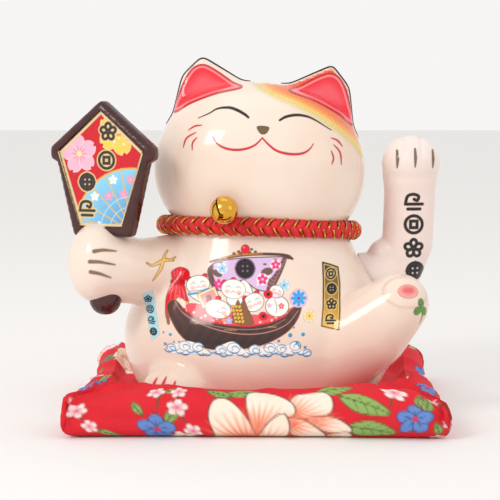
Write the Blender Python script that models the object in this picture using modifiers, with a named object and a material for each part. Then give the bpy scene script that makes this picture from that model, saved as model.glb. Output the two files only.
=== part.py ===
"""A ceramic beckoning cat with a waving arm, sitting on a printed cushion.

The cat is one hollow casting. Its fist holds a house-shaped plaque, a braided collar carries a jingle bell, and
the arm on its left side is a pair of plastic shells on a steel shaft. Inside, a pendulum with a magnet swings over
a coil, fed by two AA cells behind a sliding door in the base.

Metres, +Z up, the floor at z = 0, the cat's face towards -Y. Blender 4.5.
"""

import math

import bmesh
import bpy
from mathutils import Matrix, Vector

MM = 0.001
GAP = 0.3 * MM  # left between pieces that touch

# ---- driving dimensions -----------------------------------------------------------------------------------------
CAT_X = 5.5 * MM  # the cat and the cushion stand this far to the right of the whole object's middle
SEAT_Z = 16 * MM  # the cat's foot ring, on the squashed middle of the cushion

CUSHION = Vector((223, 214, 30)) * MM
CUSHION_TURN = math.radians(-1.2)
CUSHION_HOLLOW = Vector((86, 82)) * MM  # half sizes of the flat hollow that the cat sits in
CUSHION_CREST = 11 * MM  # from the hollow's edge to the rim's highest line
CUSHION_PINCH = 0.05  # how far the sides draw in between the corners

BODY_LEAN = -3 * MM  # the body's middle line is a little in front of the head's
BODY_DEPTH = 0.79  # of its width, front to back
BODY_PROFILE = (  # height, half width
    (6, 64), (14, 73.5), (22, 78), (32, 81.8), (45, 83.5), (55, 82.4), (65, 78.8),
    (76, 72.8), (88, 65.3), (98, 59.6), (107, 55.3), (116, 52), (126, 49), (136, 45),
)
HEAD = (Vector((0.6, -2, 151)) * MM, Vector((65, 54, 51)) * MM)
HEAD_ROLL = math.radians(4)
BOXY = 2.35  # power of the head's rounded-box form; 2 is an ellipsoid
HEAD_TAPER = 0.09  # how much narrower than its middle the head is at its top
WALL = 8 * MM  # the casting's wall round the cavity
BASE_HOLE_R = 48 * MM

EAR_ROOT, EAR_SHOULDER, EAR_TIP, EAR_CROWN = (Vector(at) * MM for at in ((58, 12), (51, 51), (40, 63.5), (4, 45)))
EAR_TIP_THICK, EAR_ROOT_THICK = 11 * MM, 32 * MM

COLLAR_CENTRE = Vector((0, 0, 112.2)) * MM
COLLAR_HALF = Vector((57.3, 48.5)) * MM
CORD_R = 6.2 * MM
COLLAR_ROLL, COLLAR_PITCH = math.radians(1.8), math.radians(4.8)

ARM_AXIS = Vector((0, 4, 82)) * MM  # the shaft runs along X through this point
ARM_ROOT_R = 14 * MM
ARM_SKIN = 1.2 * MM
SOCKET_X = 61 * MM  # the flat bottom of the round socket in the cat's side
ARM_RUN_X = 93.5 * MM  # middle of the upright forearm
ARM_TOP_Z = 169 * MM
SHAFT_R = 2 * MM

FIST = (Vector((-96.3, -46, 95)) * MM, Vector((17.5, 20, 24.5)) * MM)
PLAQUE_X, PLAQUE_Y = -91.5 * MM, -47 * MM
PLAQUE_TURN = math.radians(-22)
PLAQUE_FOOT_Z, PLAQUE_SIDE_Z, PLAQUE_TOP_Z = 111 * MM, 162 * MM, 191 * MM
PLAQUE_FOOT_W, PLAQUE_W, PLAQUE_THICK, PLAQUE_RIM = 38 * MM, 66 * MM, 11 * MM, 5.5 * MM
HANDLE_R, HANDLE_FOOT_Z = 9.9 * MM, 64 * MM

BELL_R, BELL_SKIN = 8.3 * MM, 0.6 * MM
BELL_CORD_X = -17 * MM
BELL_RISE = math.radians(35)  # how far above level the bell lies from the cord
BELL_HINGE_OUT = CORD_R + 1.6 * MM
BELL_ARM = BELL_R + 2.6 * MM

COVER_R, COVER_Z, COVER_THICK = BASE_HOLE_R - 0.6 * MM, 22 * MM, 2.5 * MM
CELL_R, CELL_LONG = 7.1 * MM, 50 * MM  # an AA cell
CELL_PLAY, CONTACT_ROOM = 0.6 * MM, 8 * MM  # round each cell, and at its two ends together
BOX_WALL = 1.5 * MM
DOOR_THICK = 1.9 * MM
DOOR_TRAVEL = 6 * MM
SHELF_THICK = 2.4 * MM
POST_X = 26 * MM
POST_R, SCREW_R, SCREW_HEAD_R = 3.6 * MM, 1.2 * MM, 2.7 * MM
UPRIGHTS_X = (10 * MM, 36 * MM)
UPRIGHT_THICK, UPRIGHT_HALF_Y = 2.5 * MM, 8 * MM
BUSH_R, BUSH_BORE_R = 3.8 * MM, SHAFT_R + GAP
PENDULUM_X = 24.25 * MM
WEIGHT = Vector((17, 18, 18)) * MM
MAGNET_R, MAGNET_THICK = 5 * MM, 4 * MM
STEM = Vector((3, 8)) * MM
SWITCH_Y, SWITCH_TRAVEL = -34 * MM, 3 * MM

# ---- heights that follow from those above -----------------------------------------------------------------------
CELL_Y = CELL_R + CELL_PLAY
BOX = Vector((CELL_LONG + CONTACT_ROOM + 2 * BOX_WALL, 4 * (CELL_R + CELL_PLAY) + 2 * BOX_WALL, 0))
BOX.z = 2 * CELL_R + BOX_WALL + GAP + 2 * CELL_PLAY
DOOR = Vector((BOX.x - 2 * MM, BOX.y + 2 * MM, DOOR_THICK))
POST_AT = Vector((POST_X, DOOR.y / 2 + 6 * MM))
COVER_TOP = COVER_Z + COVER_THICK
BOX_Z = COVER_TOP + GAP
SHELF_Z = BOX_Z + BOX.z + GAP
SHELF_TOP = SHELF_Z + SHELF_THICK
DOOR_Z = COVER_Z - GAP - DOOR.z
WEIGHT_TOP = ARM_AXIS.z - 6.5 * MM
WEIGHT_FOOT = WEIGHT_TOP - WEIGHT.z
FOOT_THICK = 2 * MM
MAGNET_TOP = WEIGHT_FOOT - FOOT_THICK - 2 * GAP
COIL_TOP = ARM_AXIS.z - math.hypot(ARM_AXIS.z - MAGNET_TOP + MAGNET_THICK, MAGNET_R) - 1 * MM


# ---- tools ------------------------------------------------------------------------------------------------------
def clear_scene():
    for old in list(bpy.data.objects):
        bpy.data.objects.remove(old)


def collection(name):
    made = bpy.data.collections.new(name)
    bpy.context.scene.collection.children.link(made)
    return made


def material(name, colour, roughness, metallic=0.0):
    made = bpy.data.materials.new(name)
    made.use_nodes = True
    shader = made.node_tree.nodes["Principled BSDF"]
    shader.inputs["Base Color"].default_value = (*colour, 1)
    shader.inputs["Roughness"].default_value = roughness
    shader.inputs["Metallic"].default_value = metallic
    return made


def place(obj, shift=Vector((CAT_X, 0, 0))):
    """Moves an object made round the cat's own axis to where the cat stands."""
    obj.location = obj.location + shift
    return obj


def piece(name, bm, finish, sharp=40):
    """One part of the object, from a bmesh."""
    mesh = bpy.data.meshes.new(name)
    bmesh.ops.recalc_face_normals(bm, faces=bm.faces)
    bm.to_mesh(mesh)
    bm.free()
    mesh.shade_smooth()
    mesh.set_sharp_from_angle(angle=math.radians(sharp))
    obj = bpy.data.objects.new(name, mesh)
    obj.data.materials.append(finish)
    PARTS.objects.link(obj)
    return obj


def cutter(name, bm):
    """A helper that shapes a part and isn't one."""
    mesh = bpy.data.meshes.new(name)
    bmesh.ops.recalc_face_normals(bm, faces=bm.faces)
    bm.to_mesh(mesh)
    bm.free()
    obj = bpy.data.objects.new(name, mesh)
    obj.hide_render = True
    obj.display_type = "WIRE"
    CUTTERS.objects.link(obj)
    return obj


def boolean(obj, helper, operation="DIFFERENCE"):
    made = obj.modifiers.new(helper.name, "BOOLEAN")
    made.object = helper
    made.operation = operation


def add_box(bm, low, high):
    low, high = Vector(low), Vector(high)
    size = Matrix.Diagonal((*(high - low), 1))
    bmesh.ops.create_cube(bm, size=1, matrix=Matrix.Translation((low + high) / 2) @ size)


def add_rod(bm, start, end, radius, end_radius=None, segments=24):
    """A cylinder, or a cone, from start to end."""
    start, end = Vector(start), Vector(end)
    along = end - start
    turn = along.to_track_quat("Z", "Y").to_matrix().to_4x4()
    bmesh.ops.create_cone(
        bm,
        cap_ends=True,
        segments=segments,
        radius1=radius,
        radius2=radius if end_radius is None else end_radius,
        depth=along.length,
        matrix=Matrix.Translation((start + end) / 2) @ turn,
    )


def box(low, high):
    bm = bmesh.new()
    add_box(bm, low, high)
    return bm


def rod(start, end, radius, segments=24):
    bm = bmesh.new()
    add_rod(bm, start, end, radius, segments=segments)
    return bm


def add_lump(bm, centre, radii, power=2.0, turn=Matrix.Identity(4), rings=20):
    """A rounded form: an ellipsoid at power 2, boxier above it."""
    made = bmesh.ops.create_uvsphere(bm, u_segments=2 * rings, v_segments=rings, radius=1)
    for vertex in made["verts"]:
        n = vertex.co
        reach = sum(abs(c) ** power for c in n) ** (-1 / power)
        vertex.co = Vector(centre) + turn @ Vector(c * r * reach for c, r in zip(n, radii))


def add_limb(bm, stations, steps=5):
    """A chain of lumps through stations of (centre, radii)."""
    for (here, size), (there, next_size) in zip(stations, stations[1:]):
        for step in range(steps + 1):
            share = step / steps
            add_lump(bm, here.lerp(there, share), size.lerp(next_size, share), rings=10)


def fuse(obj, voxel, rounds, keep):
    """Melts overlapping lumps into one skin, rounds the joins, and thins out the triangles."""
    skin = obj.modifiers.new("skin", "REMESH")
    skin.mode = "VOXEL"
    skin.voxel_size = voxel
    soften = obj.modifiers.new("soften", "SMOOTH")
    soften.factor = 0.5
    soften.iterations = rounds
    thin = obj.modifiers.new("thin", "DECIMATE")
    thin.ratio = keep


def settled(obj):
    """The object's mesh with its modifiers worked in, so that it can be cut further."""
    graph = bpy.context.evaluated_depsgraph_get()
    mesh = bpy.data.meshes.new_from_object(obj.evaluated_get(graph))
    obj.modifiers.clear()
    obj.data = mesh
    return obj


def wire(name, points, radius, finish, sides=2):
    """A bent wire as a mesh with closed ends."""
    curve = bpy.data.curves.new(name, "CURVE")
    curve.dimensions = "3D"
    curve.bevel_depth = radius
    curve.bevel_resolution = sides
    curve.use_fill_caps = True
    line = curve.splines.new("POLY")
    line.points.add(len(points) - 1)
    for target, point in zip(line.points, points):
        target.co = (*point, 1)
    curve.materials.append(finish)
    obj = bpy.data.objects.new(name, curve)
    PARTS.objects.link(obj)
    return place(obj)


def ring(name, centre, half, radius, turn, finish, around=64, sides=12):
    """A closed cord or wire along an ellipse."""
    bm = bmesh.new()
    loops = []
    for step in range(around):
        angle = 2 * math.pi * step / around
        out = Vector((math.cos(angle), math.sin(angle), 0))
        middle = Vector((out.x * half[0], out.y * half[1], 0))
        out = Vector((out.x * half[1], out.y * half[0], 0)).normalized()
        loop = []
        for side in range(sides):
            roll = 2 * math.pi * side / sides
            at = middle + out * radius * math.cos(roll) + Vector((0, 0, radius * math.sin(roll)))
            loop.append(bm.verts.new(Vector(centre) + turn @ at))
        loops.append(loop)
    for first, second in zip(loops, loops[1:] + loops[:1]):
        for side in range(sides):
            after = (side + 1) % sides
            bm.faces.new((first[side], first[after], second[after], second[side]))
    return piece(name, bm, finish) if finish else cutter(name, bm)


# ---- the ceramic casting ----------------------------------------------------------------------------------------
def head_matrix():
    return Matrix.Translation(HEAD[0]) @ Matrix.Rotation(HEAD_ROLL, 4, "Y")


def collar_turn():
    return (Matrix.Rotation(COLLAR_ROLL, 4, "Y") @ Matrix.Rotation(-COLLAR_PITCH, 4, "X")).to_3x3()


def add_ear(bm, side):
    """A wedge, thick at its root and thin at its tip, rounded later by the smoothing."""
    place_in_head = head_matrix()
    rings = []
    for face in (-0.5, 0.5):
        loop = []
        for point, thick in (
            (EAR_TIP, EAR_TIP_THICK),
            (EAR_SHOULDER, EAR_TIP_THICK * 1.5),
            (EAR_ROOT, EAR_ROOT_THICK),
            (EAR_CROWN, EAR_ROOT_THICK),
        ):
            loop.append(bm.verts.new(place_in_head @ Vector((point.x * side, face * thick, point.y))))
        rings.append(bm.faces.new(loop))
    bmesh.ops.bridge_loops(bm, edges=[edge for ring_face in rings for edge in ring_face.edges])


def add_body(bm, inset, around=48):
    """The belly and neck, ring on ring up the profile; inset makes the hollow in it."""
    rings = []
    for height, half in BODY_PROFILE:
        width = half * MM - inset
        depth = half * MM * BODY_DEPTH - inset
        ring_of = []
        for step in range(around):
            angle = 2 * math.pi * step / around
            c, s = math.cos(angle), math.sin(angle)
            reach = (abs(c) ** 2.15 + abs(s) ** 2.15) ** (-1 / 2.15)
            ring_of.append(bm.verts.new((width * c * reach, BODY_LEAN + depth * s * reach, height * MM)))
        rings.append(ring_of)
    bm.faces.new(rings[0])
    bm.faces.new(rings[-1])
    for low, high in zip(rings, rings[1:]):
        for step in range(around):
            after = (step + 1) % around
            bm.faces.new((low[step], low[after], high[after], high[step]))


def add_head(bm, inset=0.0):
    centre, radii = HEAD
    first = len(bm.verts)
    add_lump(bm, (0, 0, 0), radii - Vector((inset, inset, inset)), power=BOXY, rings=28)
    bm.verts.ensure_lookup_table()
    for vertex in bm.verts[first:]:
        vertex.co.x *= 1 - HEAD_TAPER * max(0.0, vertex.co.z / radii.z)
        vertex.co = head_matrix() @ vertex.co


def cat_outside(bm):
    add_body(bm, 0.0)
    add_head(bm)
    for side in (-1, 1):
        add_ear(bm, side)
    shoulder = (Vector((-46, -14, 88)) * MM, Vector((20, 21, 22)) * MM)
    elbow = (Vector((-74, -32, 88)) * MM, Vector((19, 20, 20)) * MM)
    wrist = (Vector((-84, -39, 91)) * MM, Vector((18, 20, 21)) * MM)
    add_limb(bm, [shoulder, elbow, wrist, FIST])
    hip = (Vector((40, -32, 38)) * MM, Vector((33, 30, 28)) * MM)
    knee = (Vector((64, -45, 54)) * MM, Vector((26, 22, 25)) * MM)
    sole = (Vector((82.5, -52, 71)) * MM, Vector((18.5, 17, 18.5)) * MM)
    add_limb(bm, [hip, knee, sole], steps=7)
    add_limb(
        bm,
        [
            (Vector((-38, -38, 22)) * MM, Vector((26, 24, 18)) * MM),
            (Vector((-51, -53, 20)) * MM, Vector((19, 20, 15)) * MM),
        ],
    )


def cat_cavity():
    bm = bmesh.new()
    add_body(bm, WALL)
    add_head(bm, WALL * 1.3)
    hollow = cutter("cavity", bm)
    fuse(hollow, 6 * MM, 3, 0.35)
    settled(hollow)
    open_base = cutter("base_hole", rod((0, 0, 0), (0, 0, 40 * MM), BASE_HOLE_R, 48))
    boolean(hollow, open_base, "UNION")
    return settled(hollow)


def ceramic_cat():
    bm = bmesh.new()
    cat_outside(bm)
    cat = piece("ceramic_cat", bm, CERAMIC, sharp=60)
    fuse(cat, 3 * MM, 8, 0.12)
    settled(cat)
    whole = bmesh.new()
    whole.from_mesh(cat.data)
    clearance = cutter("cat_clearance", whole)
    swell = clearance.modifiers.new("swell", "DISPLACE")
    swell.mid_level = 0
    swell.strength = 1.5 * GAP
    settled(clearance)
    floor = cutter("under_the_feet", box(Vector((-150, -150, -60)) * MM, (0.15, 0.15, SEAT_Z)))
    axis = ARM_AXIS.copy()
    socket = rod(axis + Vector((SOCKET_X, 0, 0)), axis + Vector((140 * MM, 0, 0)), ARM_ROOT_R + 1.6 * MM, 32)
    shaft_way = rod(axis, axis + Vector((100 * MM, 0, 0)), 6 * MM, 20)
    groove = ring("collar_seat", COLLAR_CENTRE, COLLAR_HALF, CORD_R + GAP, collar_turn(), None)
    for helper in (
        floor,
        cat_cavity(),
        cutter("arm_socket", socket),
        cutter("shaft_way", shaft_way),
        groove,
        plaque_shape("plaque_slot", 0, None, GAP),
        peg_hole(),
    ):
        boolean(cat, helper)
    place(settled(cat))
    return clearance


# ---- the plaque in the fist -------------------------------------------------------------------------------------
def plaque_outline(grow):
    half, foot = PLAQUE_W / 2 + grow, PLAQUE_FOOT_W / 2 + grow
    side = [(foot, PLAQUE_FOOT_Z - grow), (half, PLAQUE_SIDE_Z)]
    if grow > -PLAQUE_RIM / 2:  # the roof's eaves stand out past the walls
        side[1:] = [
            (half - 3.5 * MM, PLAQUE_SIDE_Z - 6.5 * MM),
            (half + 0.8 * MM, PLAQUE_SIDE_Z - 4.5 * MM),
            (half + 0.8 * MM, PLAQUE_SIDE_Z + 0.7 * MM),
        ]
    return side + [(0, PLAQUE_TOP_Z + grow)] + [(-x, z) for x, z in reversed(side)]


def plaque_matrix():
    return Matrix.Translation((PLAQUE_X, PLAQUE_Y, 0)) @ Matrix.Rotation(PLAQUE_TURN, 4, "Z")


def plaque_shape(name, grow, finish, thicker=0.0):
    """A house-shaped board, standing, its face towards -Y before it is turned."""
    bm = bmesh.new()
    depth = PLAQUE_THICK / 2 + thicker
    corners = [bm.verts.new((x, -depth, z)) for x, z in plaque_outline(grow + thicker)]
    face = bm.faces.new(corners)
    made = bmesh.ops.extrude_face_region(bm, geom=[face])
    moved = [item for item in made["geom"] if isinstance(item, bmesh.types.BMVert)]
    bmesh.ops.translate(bm, vec=(0, 2 * depth, 0), verts=moved)
    bmesh.ops.transform(bm, matrix=plaque_matrix(), verts=bm.verts)
    return piece(name, bm, finish) if finish else cutter(name, bm)


def peg_hole():
    """The round hole down through the fist that the two pegs of the handle go into."""
    at = Vector((PLAQUE_X, PLAQUE_Y, 0))
    top, foot = Vector((0, 0, PLAQUE_FOOT_Z + 2 * MM)), Vector((0, 0, HANDLE_FOOT_Z - 5 * MM))
    return cutter("peg_hole", rod(at + foot, at + top, 6 * MM, 20))


def plaque(clearance):
    board = plaque_shape("plaque_board", 0, BROWN_GLAZE)
    soften = board.modifiers.new("round_edges", "BEVEL")
    soften.width = 1.8 * MM
    soften.segments = 2
    settled(board)
    bm = bmesh.new()
    panel = [bm.verts.new((x, -PLAQUE_THICK, z)) for x, z in plaque_outline(-PLAQUE_RIM)]
    made = bmesh.ops.extrude_face_region(bm, geom=[bm.faces.new(panel)])
    moved = [item for item in made["geom"] if isinstance(item, bmesh.types.BMVert)]
    bmesh.ops.translate(bm, vec=(0, PLAQUE_THICK / 2 + 1.5 * MM, 0), verts=moved)
    bmesh.ops.transform(bm, matrix=plaque_matrix(), verts=bm.verts)
    boolean(board, cutter("panel_recess", bm))
    at = Vector((PLAQUE_X, PLAQUE_Y, 0))
    up = Vector((0, 0, 1))
    peg = rod(at + up * (PLAQUE_FOOT_Z - 9 * MM), at + up * (PLAQUE_FOOT_Z + 4 * MM), 6 * MM - GAP, 20)
    boolean(board, cutter("plaque_peg", peg), "UNION")
    place(settled(board))
    bm = bmesh.new()
    add_lump(bm, at + up * (HANDLE_FOOT_Z + 12 * MM), Vector((HANDLE_R, HANDLE_R, 12 * MM)), rings=14)
    end = piece("handle_end", bm, BROWN_GLAZE)
    boolean(end, clearance)
    peg = rod(at + up * (HANDLE_FOOT_Z + 8 * MM), at + up * (HANDLE_FOOT_Z + 24 * MM), 6 * MM - GAP, 20)
    boolean(end, cutter("handle_peg", peg), "UNION")
    place(settled(end))


# ---- the waving arm ---------------------------------------------------------------------------------------------
def arm_form(name, inset):
    """The bent arm as one solid, from inside its socket to the tip of the paw; inset makes the hollow in it."""
    bm = bmesh.new()
    y, z, run = ARM_AXIS.y, ARM_AXIS.z, ARM_RUN_X
    less = Vector((inset, inset, inset))
    root = Vector((12, 12, 14)) * MM - less
    upright = Vector((16, 12.5, 15)) * MM - less
    round_root = Vector((10 * MM, ARM_ROOT_R, ARM_ROOT_R)) - less
    add_limb(
        bm,
        [
            (Vector((SOCKET_X - 6 * MM, y, z)), round_root),
            (Vector((run - 18 * MM, y, z)), round_root),
            (Vector((run - 6 * MM, y, z + 4 * MM)), root.lerp(upright, 0.6)),
            (Vector((run - 1 * MM, y, z + 20 * MM)), upright),
            (Vector((run, y, ARM_TOP_Z - 34 * MM)), upright),
            (Vector((run + 0.5 * MM, y - 1 * MM, ARM_TOP_Z - 17 * MM)), Vector((18.2, 15, 17)) * MM - less),
        ],
        steps=8,
    )
    inner_bend = Vector((run - 15 * MM, y, z + 13 * MM))
    add_lump(bm, inner_bend, Vector((11, 10, 10)) * MM - less, rings=12)
    form = cutter(name, bm)
    fuse(form, 2 * MM, 6, 0.16)
    return settled(form)


def arm_shell(name, side, outside, hollow):
    """Half of the arm, split on a plane along its middle: side -1 is the front one."""
    low, high = sorted((ARM_AXIS.y + side * GAP / 2, ARM_AXIS.y + side * 60 * MM))
    shell = piece(name, box((SOCKET_X + 0.8 * MM, low, 0), (0.2, high, 0.25)), ARM_PLASTIC, sharp=60)
    boolean(shell, outside, "INTERSECT")
    boolean(shell, hollow)
    return place(settled(shell))


def arm_and_shaft():
    outside, hollow = arm_form("arm_outside", 0), arm_form("arm_hollow", ARM_SKIN)
    for name, side in (("arm_front_shell", -1), ("arm_back_shell", 1)):
        arm_shell(name, side, outside, hollow)
    axis = ARM_AXIS.copy()
    x = Vector((1, 0, 0))
    bm = rod(axis + x * (SOCKET_X + 2 * MM), axis + x * (SOCKET_X + 18 * MM), 5 * MM)
    hub = piece("arm_hub", bm, WHITE_PLASTIC)
    flange_r = ARM_ROOT_R - ARM_SKIN - 1.6 * MM
    flange = rod(axis + x * (SOCKET_X + 3 * MM), axis + x * (SOCKET_X + 6 * MM), flange_r, 28)
    boolean(hub, cutter("hub_flange", flange), "UNION")
    bore = rod(axis + x * SOCKET_X, axis + x * (SOCKET_X + 16 * MM), SHAFT_R + GAP)
    boolean(hub, cutter("hub_bore", bore))
    place(settled(hub))
    start, end = axis + x * (UPRIGHTS_X[0] - 5 * MM), axis + x * (SOCKET_X + 15.5 * MM)
    place(piece("arm_shaft", rod(start, end, SHAFT_R), STEEL))
    for name, at in (("shaft_clip_inner", UPRIGHTS_X[0] - 2.4 * MM), ("shaft_clip_outer", UPRIGHTS_X[1] + 5.2 * MM)):
        clip = piece(name, rod(axis + x * at, axis + x * (at + 1 * MM), SHAFT_R + 1.8 * MM, 20), STEEL)
        hole = rod(axis + x * (at - 1 * MM), axis + x * (at + 2 * MM), SHAFT_R + GAP)
        boolean(clip, cutter(name + "_hole", hole))
        place(settled(clip))


def pendulum():
    axis, x = ARM_AXIS.copy(), PENDULUM_X
    lever = piece("pendulum_lever", rod(axis + Vector((x - 5 * MM, 0, 0)), axis + Vector((x + 5 * MM, 0, 0)), 4.6 * MM), WHITE_PLASTIC)
    half = STEM / 2
    stem = box((x - half.x, axis.y - half.y, WEIGHT_FOOT - FOOT_THICK), (x + half.x, axis.y + half.y, axis.z))
    foot_low = (x - 6 * MM, axis.y - 6 * MM, WEIGHT_FOOT - GAP - FOOT_THICK)
    foot = box(foot_low, (x + 6 * MM, axis.y + 6 * MM, WEIGHT_FOOT - GAP))
    boolean(lever, cutter("lever_stem", stem), "UNION")
    boolean(lever, cutter("lever_foot", foot), "UNION")
    bore = rod(axis + Vector((x - 9 * MM, 0, 0)), axis + Vector((x + 9 * MM, 0, 0)), SHAFT_R + GAP)
    boolean(lever, cutter("lever_bore", bore))
    place(settled(lever))
    block = box(
        (x - WEIGHT.x / 2, axis.y - WEIGHT.y / 2, WEIGHT_FOOT),
        (x + WEIGHT.x / 2, axis.y + WEIGHT.y / 2, WEIGHT_TOP),
    )
    weight = piece("counterweight", block, STEEL)
    slot = box(
        (x - half.x - GAP, axis.y - half.y - GAP, WEIGHT_FOOT - 1 * MM),
        (x + half.x + GAP, axis.y + half.y + GAP, WEIGHT_TOP + 1 * MM),
    )
    boolean(weight, cutter("stem_slot", slot))
    place(settled(weight))
    at = Vector((x, axis.y, 0))
    up = Vector((0, 0, 1))
    magnet = rod(at + up * (MAGNET_TOP - MAGNET_THICK), at + up * MAGNET_TOP, MAGNET_R, 28)
    place(piece("pendulum_magnet", magnet, STEEL))


# ---- the movement that drives it ----------------------------------------------------------------------------------
def movement_frame():
    frame = piece("movement_frame", box((-32 * MM, -BOX.y / 2 - 2 * MM, SHELF_Z), (40 * MM, BOX.y / 2 + 2 * MM, SHELF_TOP)), DARK_PLASTIC)
    posts = [Vector((a * POST_AT.x, b * POST_AT.y, 0)) for a in (-1, 1) for b in (-1, 1)]
    up = Vector((0, 0, 1))
    y = ARM_AXIS.y
    for number, at in enumerate(posts, 1):
        post = rod(at + up * (COVER_TOP + GAP), at + up * SHELF_TOP, POST_R)
        boolean(frame, cutter(f"post_{number}", post), "UNION")
        side = math.copysign(1, at.y)
        web = sorted((side * BOX.y / 2, at.y))
        tab = box((at.x - 2.5 * MM, web[0], SHELF_Z), (at.x + 2.5 * MM, web[1], SHELF_TOP))
        boolean(frame, cutter(f"tab_{number}", tab), "UNION")
    for number, x in enumerate(UPRIGHTS_X, 1):
        plate = box((x, y - UPRIGHT_HALF_Y, SHELF_Z), (x + UPRIGHT_THICK, y + UPRIGHT_HALF_Y, ARM_AXIS.z))
        boolean(frame, cutter(f"upright_{number}", plate), "UNION")
        eye = rod(Vector((x, y, ARM_AXIS.z)), Vector((x + UPRIGHT_THICK, y, ARM_AXIS.z)), UPRIGHT_HALF_Y, 32)
        boolean(frame, cutter(f"eye_{number}", eye), "UNION")
        hole = rod(Vector((x - 1 * MM, y, ARM_AXIS.z)), Vector((x + 4 * MM, y, ARM_AXIS.z)), BUSH_R + GAP)
        boolean(frame, cutter(f"bush_hole_{number}", hole))
    for number, at in enumerate(posts, 1):
        hole = rod(at + up * COVER_Z, at + up * (SHELF_TOP - 4 * MM), SCREW_R + GAP, 16)
        boolean(frame, cutter(f"screw_hole_{number}", hole))
    wire_slot = box((-34 * MM, -12 * MM, SHELF_Z - 1 * MM), (-30.6 * MM, 12 * MM, SHELF_TOP + 1 * MM))
    boolean(frame, cutter("wire_slot", wire_slot))
    place(settled(frame))
    for number, at in enumerate(posts, 1):
        shank = rod(at + up * (COVER_Z - GAP - 1 * MM), at + up * (SHELF_TOP - 8 * MM), SCREW_R, 16)
        screw = piece(f"frame_screw_{number}", shank, STEEL)
        head = rod(at + up * (COVER_Z - GAP - 1.6 * MM), at + up * (COVER_Z - GAP), SCREW_HEAD_R, 20)
        boolean(screw, cutter(f"head_{number}", head), "UNION")
        place(settled(screw))
    bushes(y)


def bushes(y):
    x_axis = Vector((1, 0, 0))
    for name, x in zip(("shaft_bush_inner", "shaft_bush_outer"), UPRIGHTS_X):
        at = Vector((x, y, ARM_AXIS.z))
        bush = piece(name, rod(at - x_axis * 0.2 * MM, at + x_axis * (UPRIGHT_THICK + 1.8 * MM), BUSH_R), BRASS)
        flange_at = at + x_axis * (UPRIGHT_THICK + GAP)
        flange = rod(flange_at, flange_at + x_axis * 1.5 * MM, BUSH_R + 1.6 * MM)
        boolean(bush, cutter(name + "_flange", flange), "UNION")
        bore = rod(at - x_axis * 3 * MM, at + x_axis * 8 * MM, BUSH_BORE_R)
        boolean(bush, cutter(name + "_bore", bore))
        place(settled(bush))


def coil_and_board():
    at = Vector((PENDULUM_X, ARM_AXIS.y, 0))
    up = Vector((0, 0, 1))
    foot = SHELF_TOP + GAP
    flange = 0.8 * MM
    bobbin = piece("coil_bobbin", rod(at + up * foot, at + up * (foot + flange), 8.5 * MM, 32), DARK_PLASTIC)
    core = rod(at + up * foot, at + up * COIL_TOP, 3.2 * MM)
    top = rod(at + up * (COIL_TOP - flange), at + up * COIL_TOP, 8.5 * MM, 32)
    boolean(bobbin, cutter("bobbin_core", core), "UNION")
    boolean(bobbin, cutter("bobbin_top", top), "UNION")
    place(settled(bobbin))
    low, high = foot + flange + GAP, COIL_TOP - flange - GAP
    winding = piece("coil_winding", rod(at + up * low, at + up * high, 8 * MM, 32), COPPER)
    hole = rod(at + up * (low - 1 * MM), at + up * (high + 1 * MM), 3.2 * MM + GAP)
    boolean(winding, cutter("winding_hole", hole))
    place(settled(winding))
    board_top = foot + 1.6 * MM
    place(piece("circuit_board", box((-28 * MM, -14 * MM, foot), (4 * MM, 14 * MM, board_top)), BOARD_GREEN))
    top = board_top + GAP
    place(piece("timer_chip", box((-9 * MM, -4 * MM, top), (-1 * MM, 2 * MM, top + 2 * MM)), DARK_PLASTIC))
    can = Vector((-18 * MM, 5 * MM, 0))
    place(piece("storage_capacitor", rod(can + up * top, can + up * (top + 9 * MM), 3.2 * MM, 28), ALUMINIUM))


def battery_box():
    half = BOX / 2
    tray = piece("battery_box", box((-half.x, -half.y, BOX_Z), (half.x, half.y, BOX_Z + BOX.z)), DARK_PLASTIC)
    inner = half - Vector((BOX_WALL, BOX_WALL, 0))
    room = box((-inner.x, -inner.y, BOX_Z - 1 * MM), (inner.x, inner.y, BOX_Z + BOX.z - BOX_WALL))
    boolean(tray, cutter("battery_room", room))
    cell_z = BOX_Z + BOX.z - BOX_WALL - GAP - CELL_R
    for number, y in enumerate((-CELL_Y, CELL_Y), 1):
        hole = rod((-half.x - 1 * MM, y, cell_z), (-inner.x + 1 * MM, y, cell_z), 0.9 * MM, 16)
        boolean(tray, cutter(f"wire_hole_{number}", hole))
    place(settled(tray))
    for number, (y, side) in enumerate(((-CELL_Y, 1), (CELL_Y, -1)), 1):
        ends = Vector((side * CELL_LONG / 2, 0, 0))
        middle = Vector((side * 0.8 * MM, y, cell_z))
        cell = piece(f"aa_cell_{number}", rod(middle - ends, middle + ends * 0.96, CELL_R, 28), CELL_LABEL)
        nub = rod(middle + ends * 0.9, middle + ends, 2.7 * MM, 20)
        boolean(cell, cutter(f"cell_nub_{number}", nub), "UNION")
        place(settled(cell))
        flat_end, nub_end = middle.x - ends.x, middle.x + ends.x
        wall = -side * inner.x
        spring = []
        turns, per_turn = 3.5, 9
        start, stop = wall + side * 0.9 * MM, flat_end - side * 0.6 * MM
        for step in range(int(turns * per_turn) + 1):
            share = step / (turns * per_turn)
            angle = 2 * math.pi * turns * share
            radius = (4.6 - 2.2 * share) * MM
            spring.append(
                (start + (stop - start) * share, y + radius * math.cos(angle), cell_z + radius * math.sin(angle))
            )
        wire(f"contact_spring_{number}", spring, 0.28 * MM, STEEL, sides=1)
        near, far = sorted((side * inner.x - side * GAP, side * inner.x - side * (GAP + 0.5 * MM)))
        plate = box((near, y - 5 * MM, cell_z - 5 * MM), (far, y + 5 * MM, cell_z + 5 * MM))
        contact = piece(f"contact_plate_{number}", plate, STEEL)
        tip = rod((side * inner.x - side * (GAP + 0.2 * MM), y, cell_z), (nub_end + side * GAP, y, cell_z), 1.6 * MM, 16)
        boolean(contact, cutter(f"contact_dimple_{number}", tip), "UNION")
        place(settled(contact))
    lead_wires(half.x, cell_z)


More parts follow.
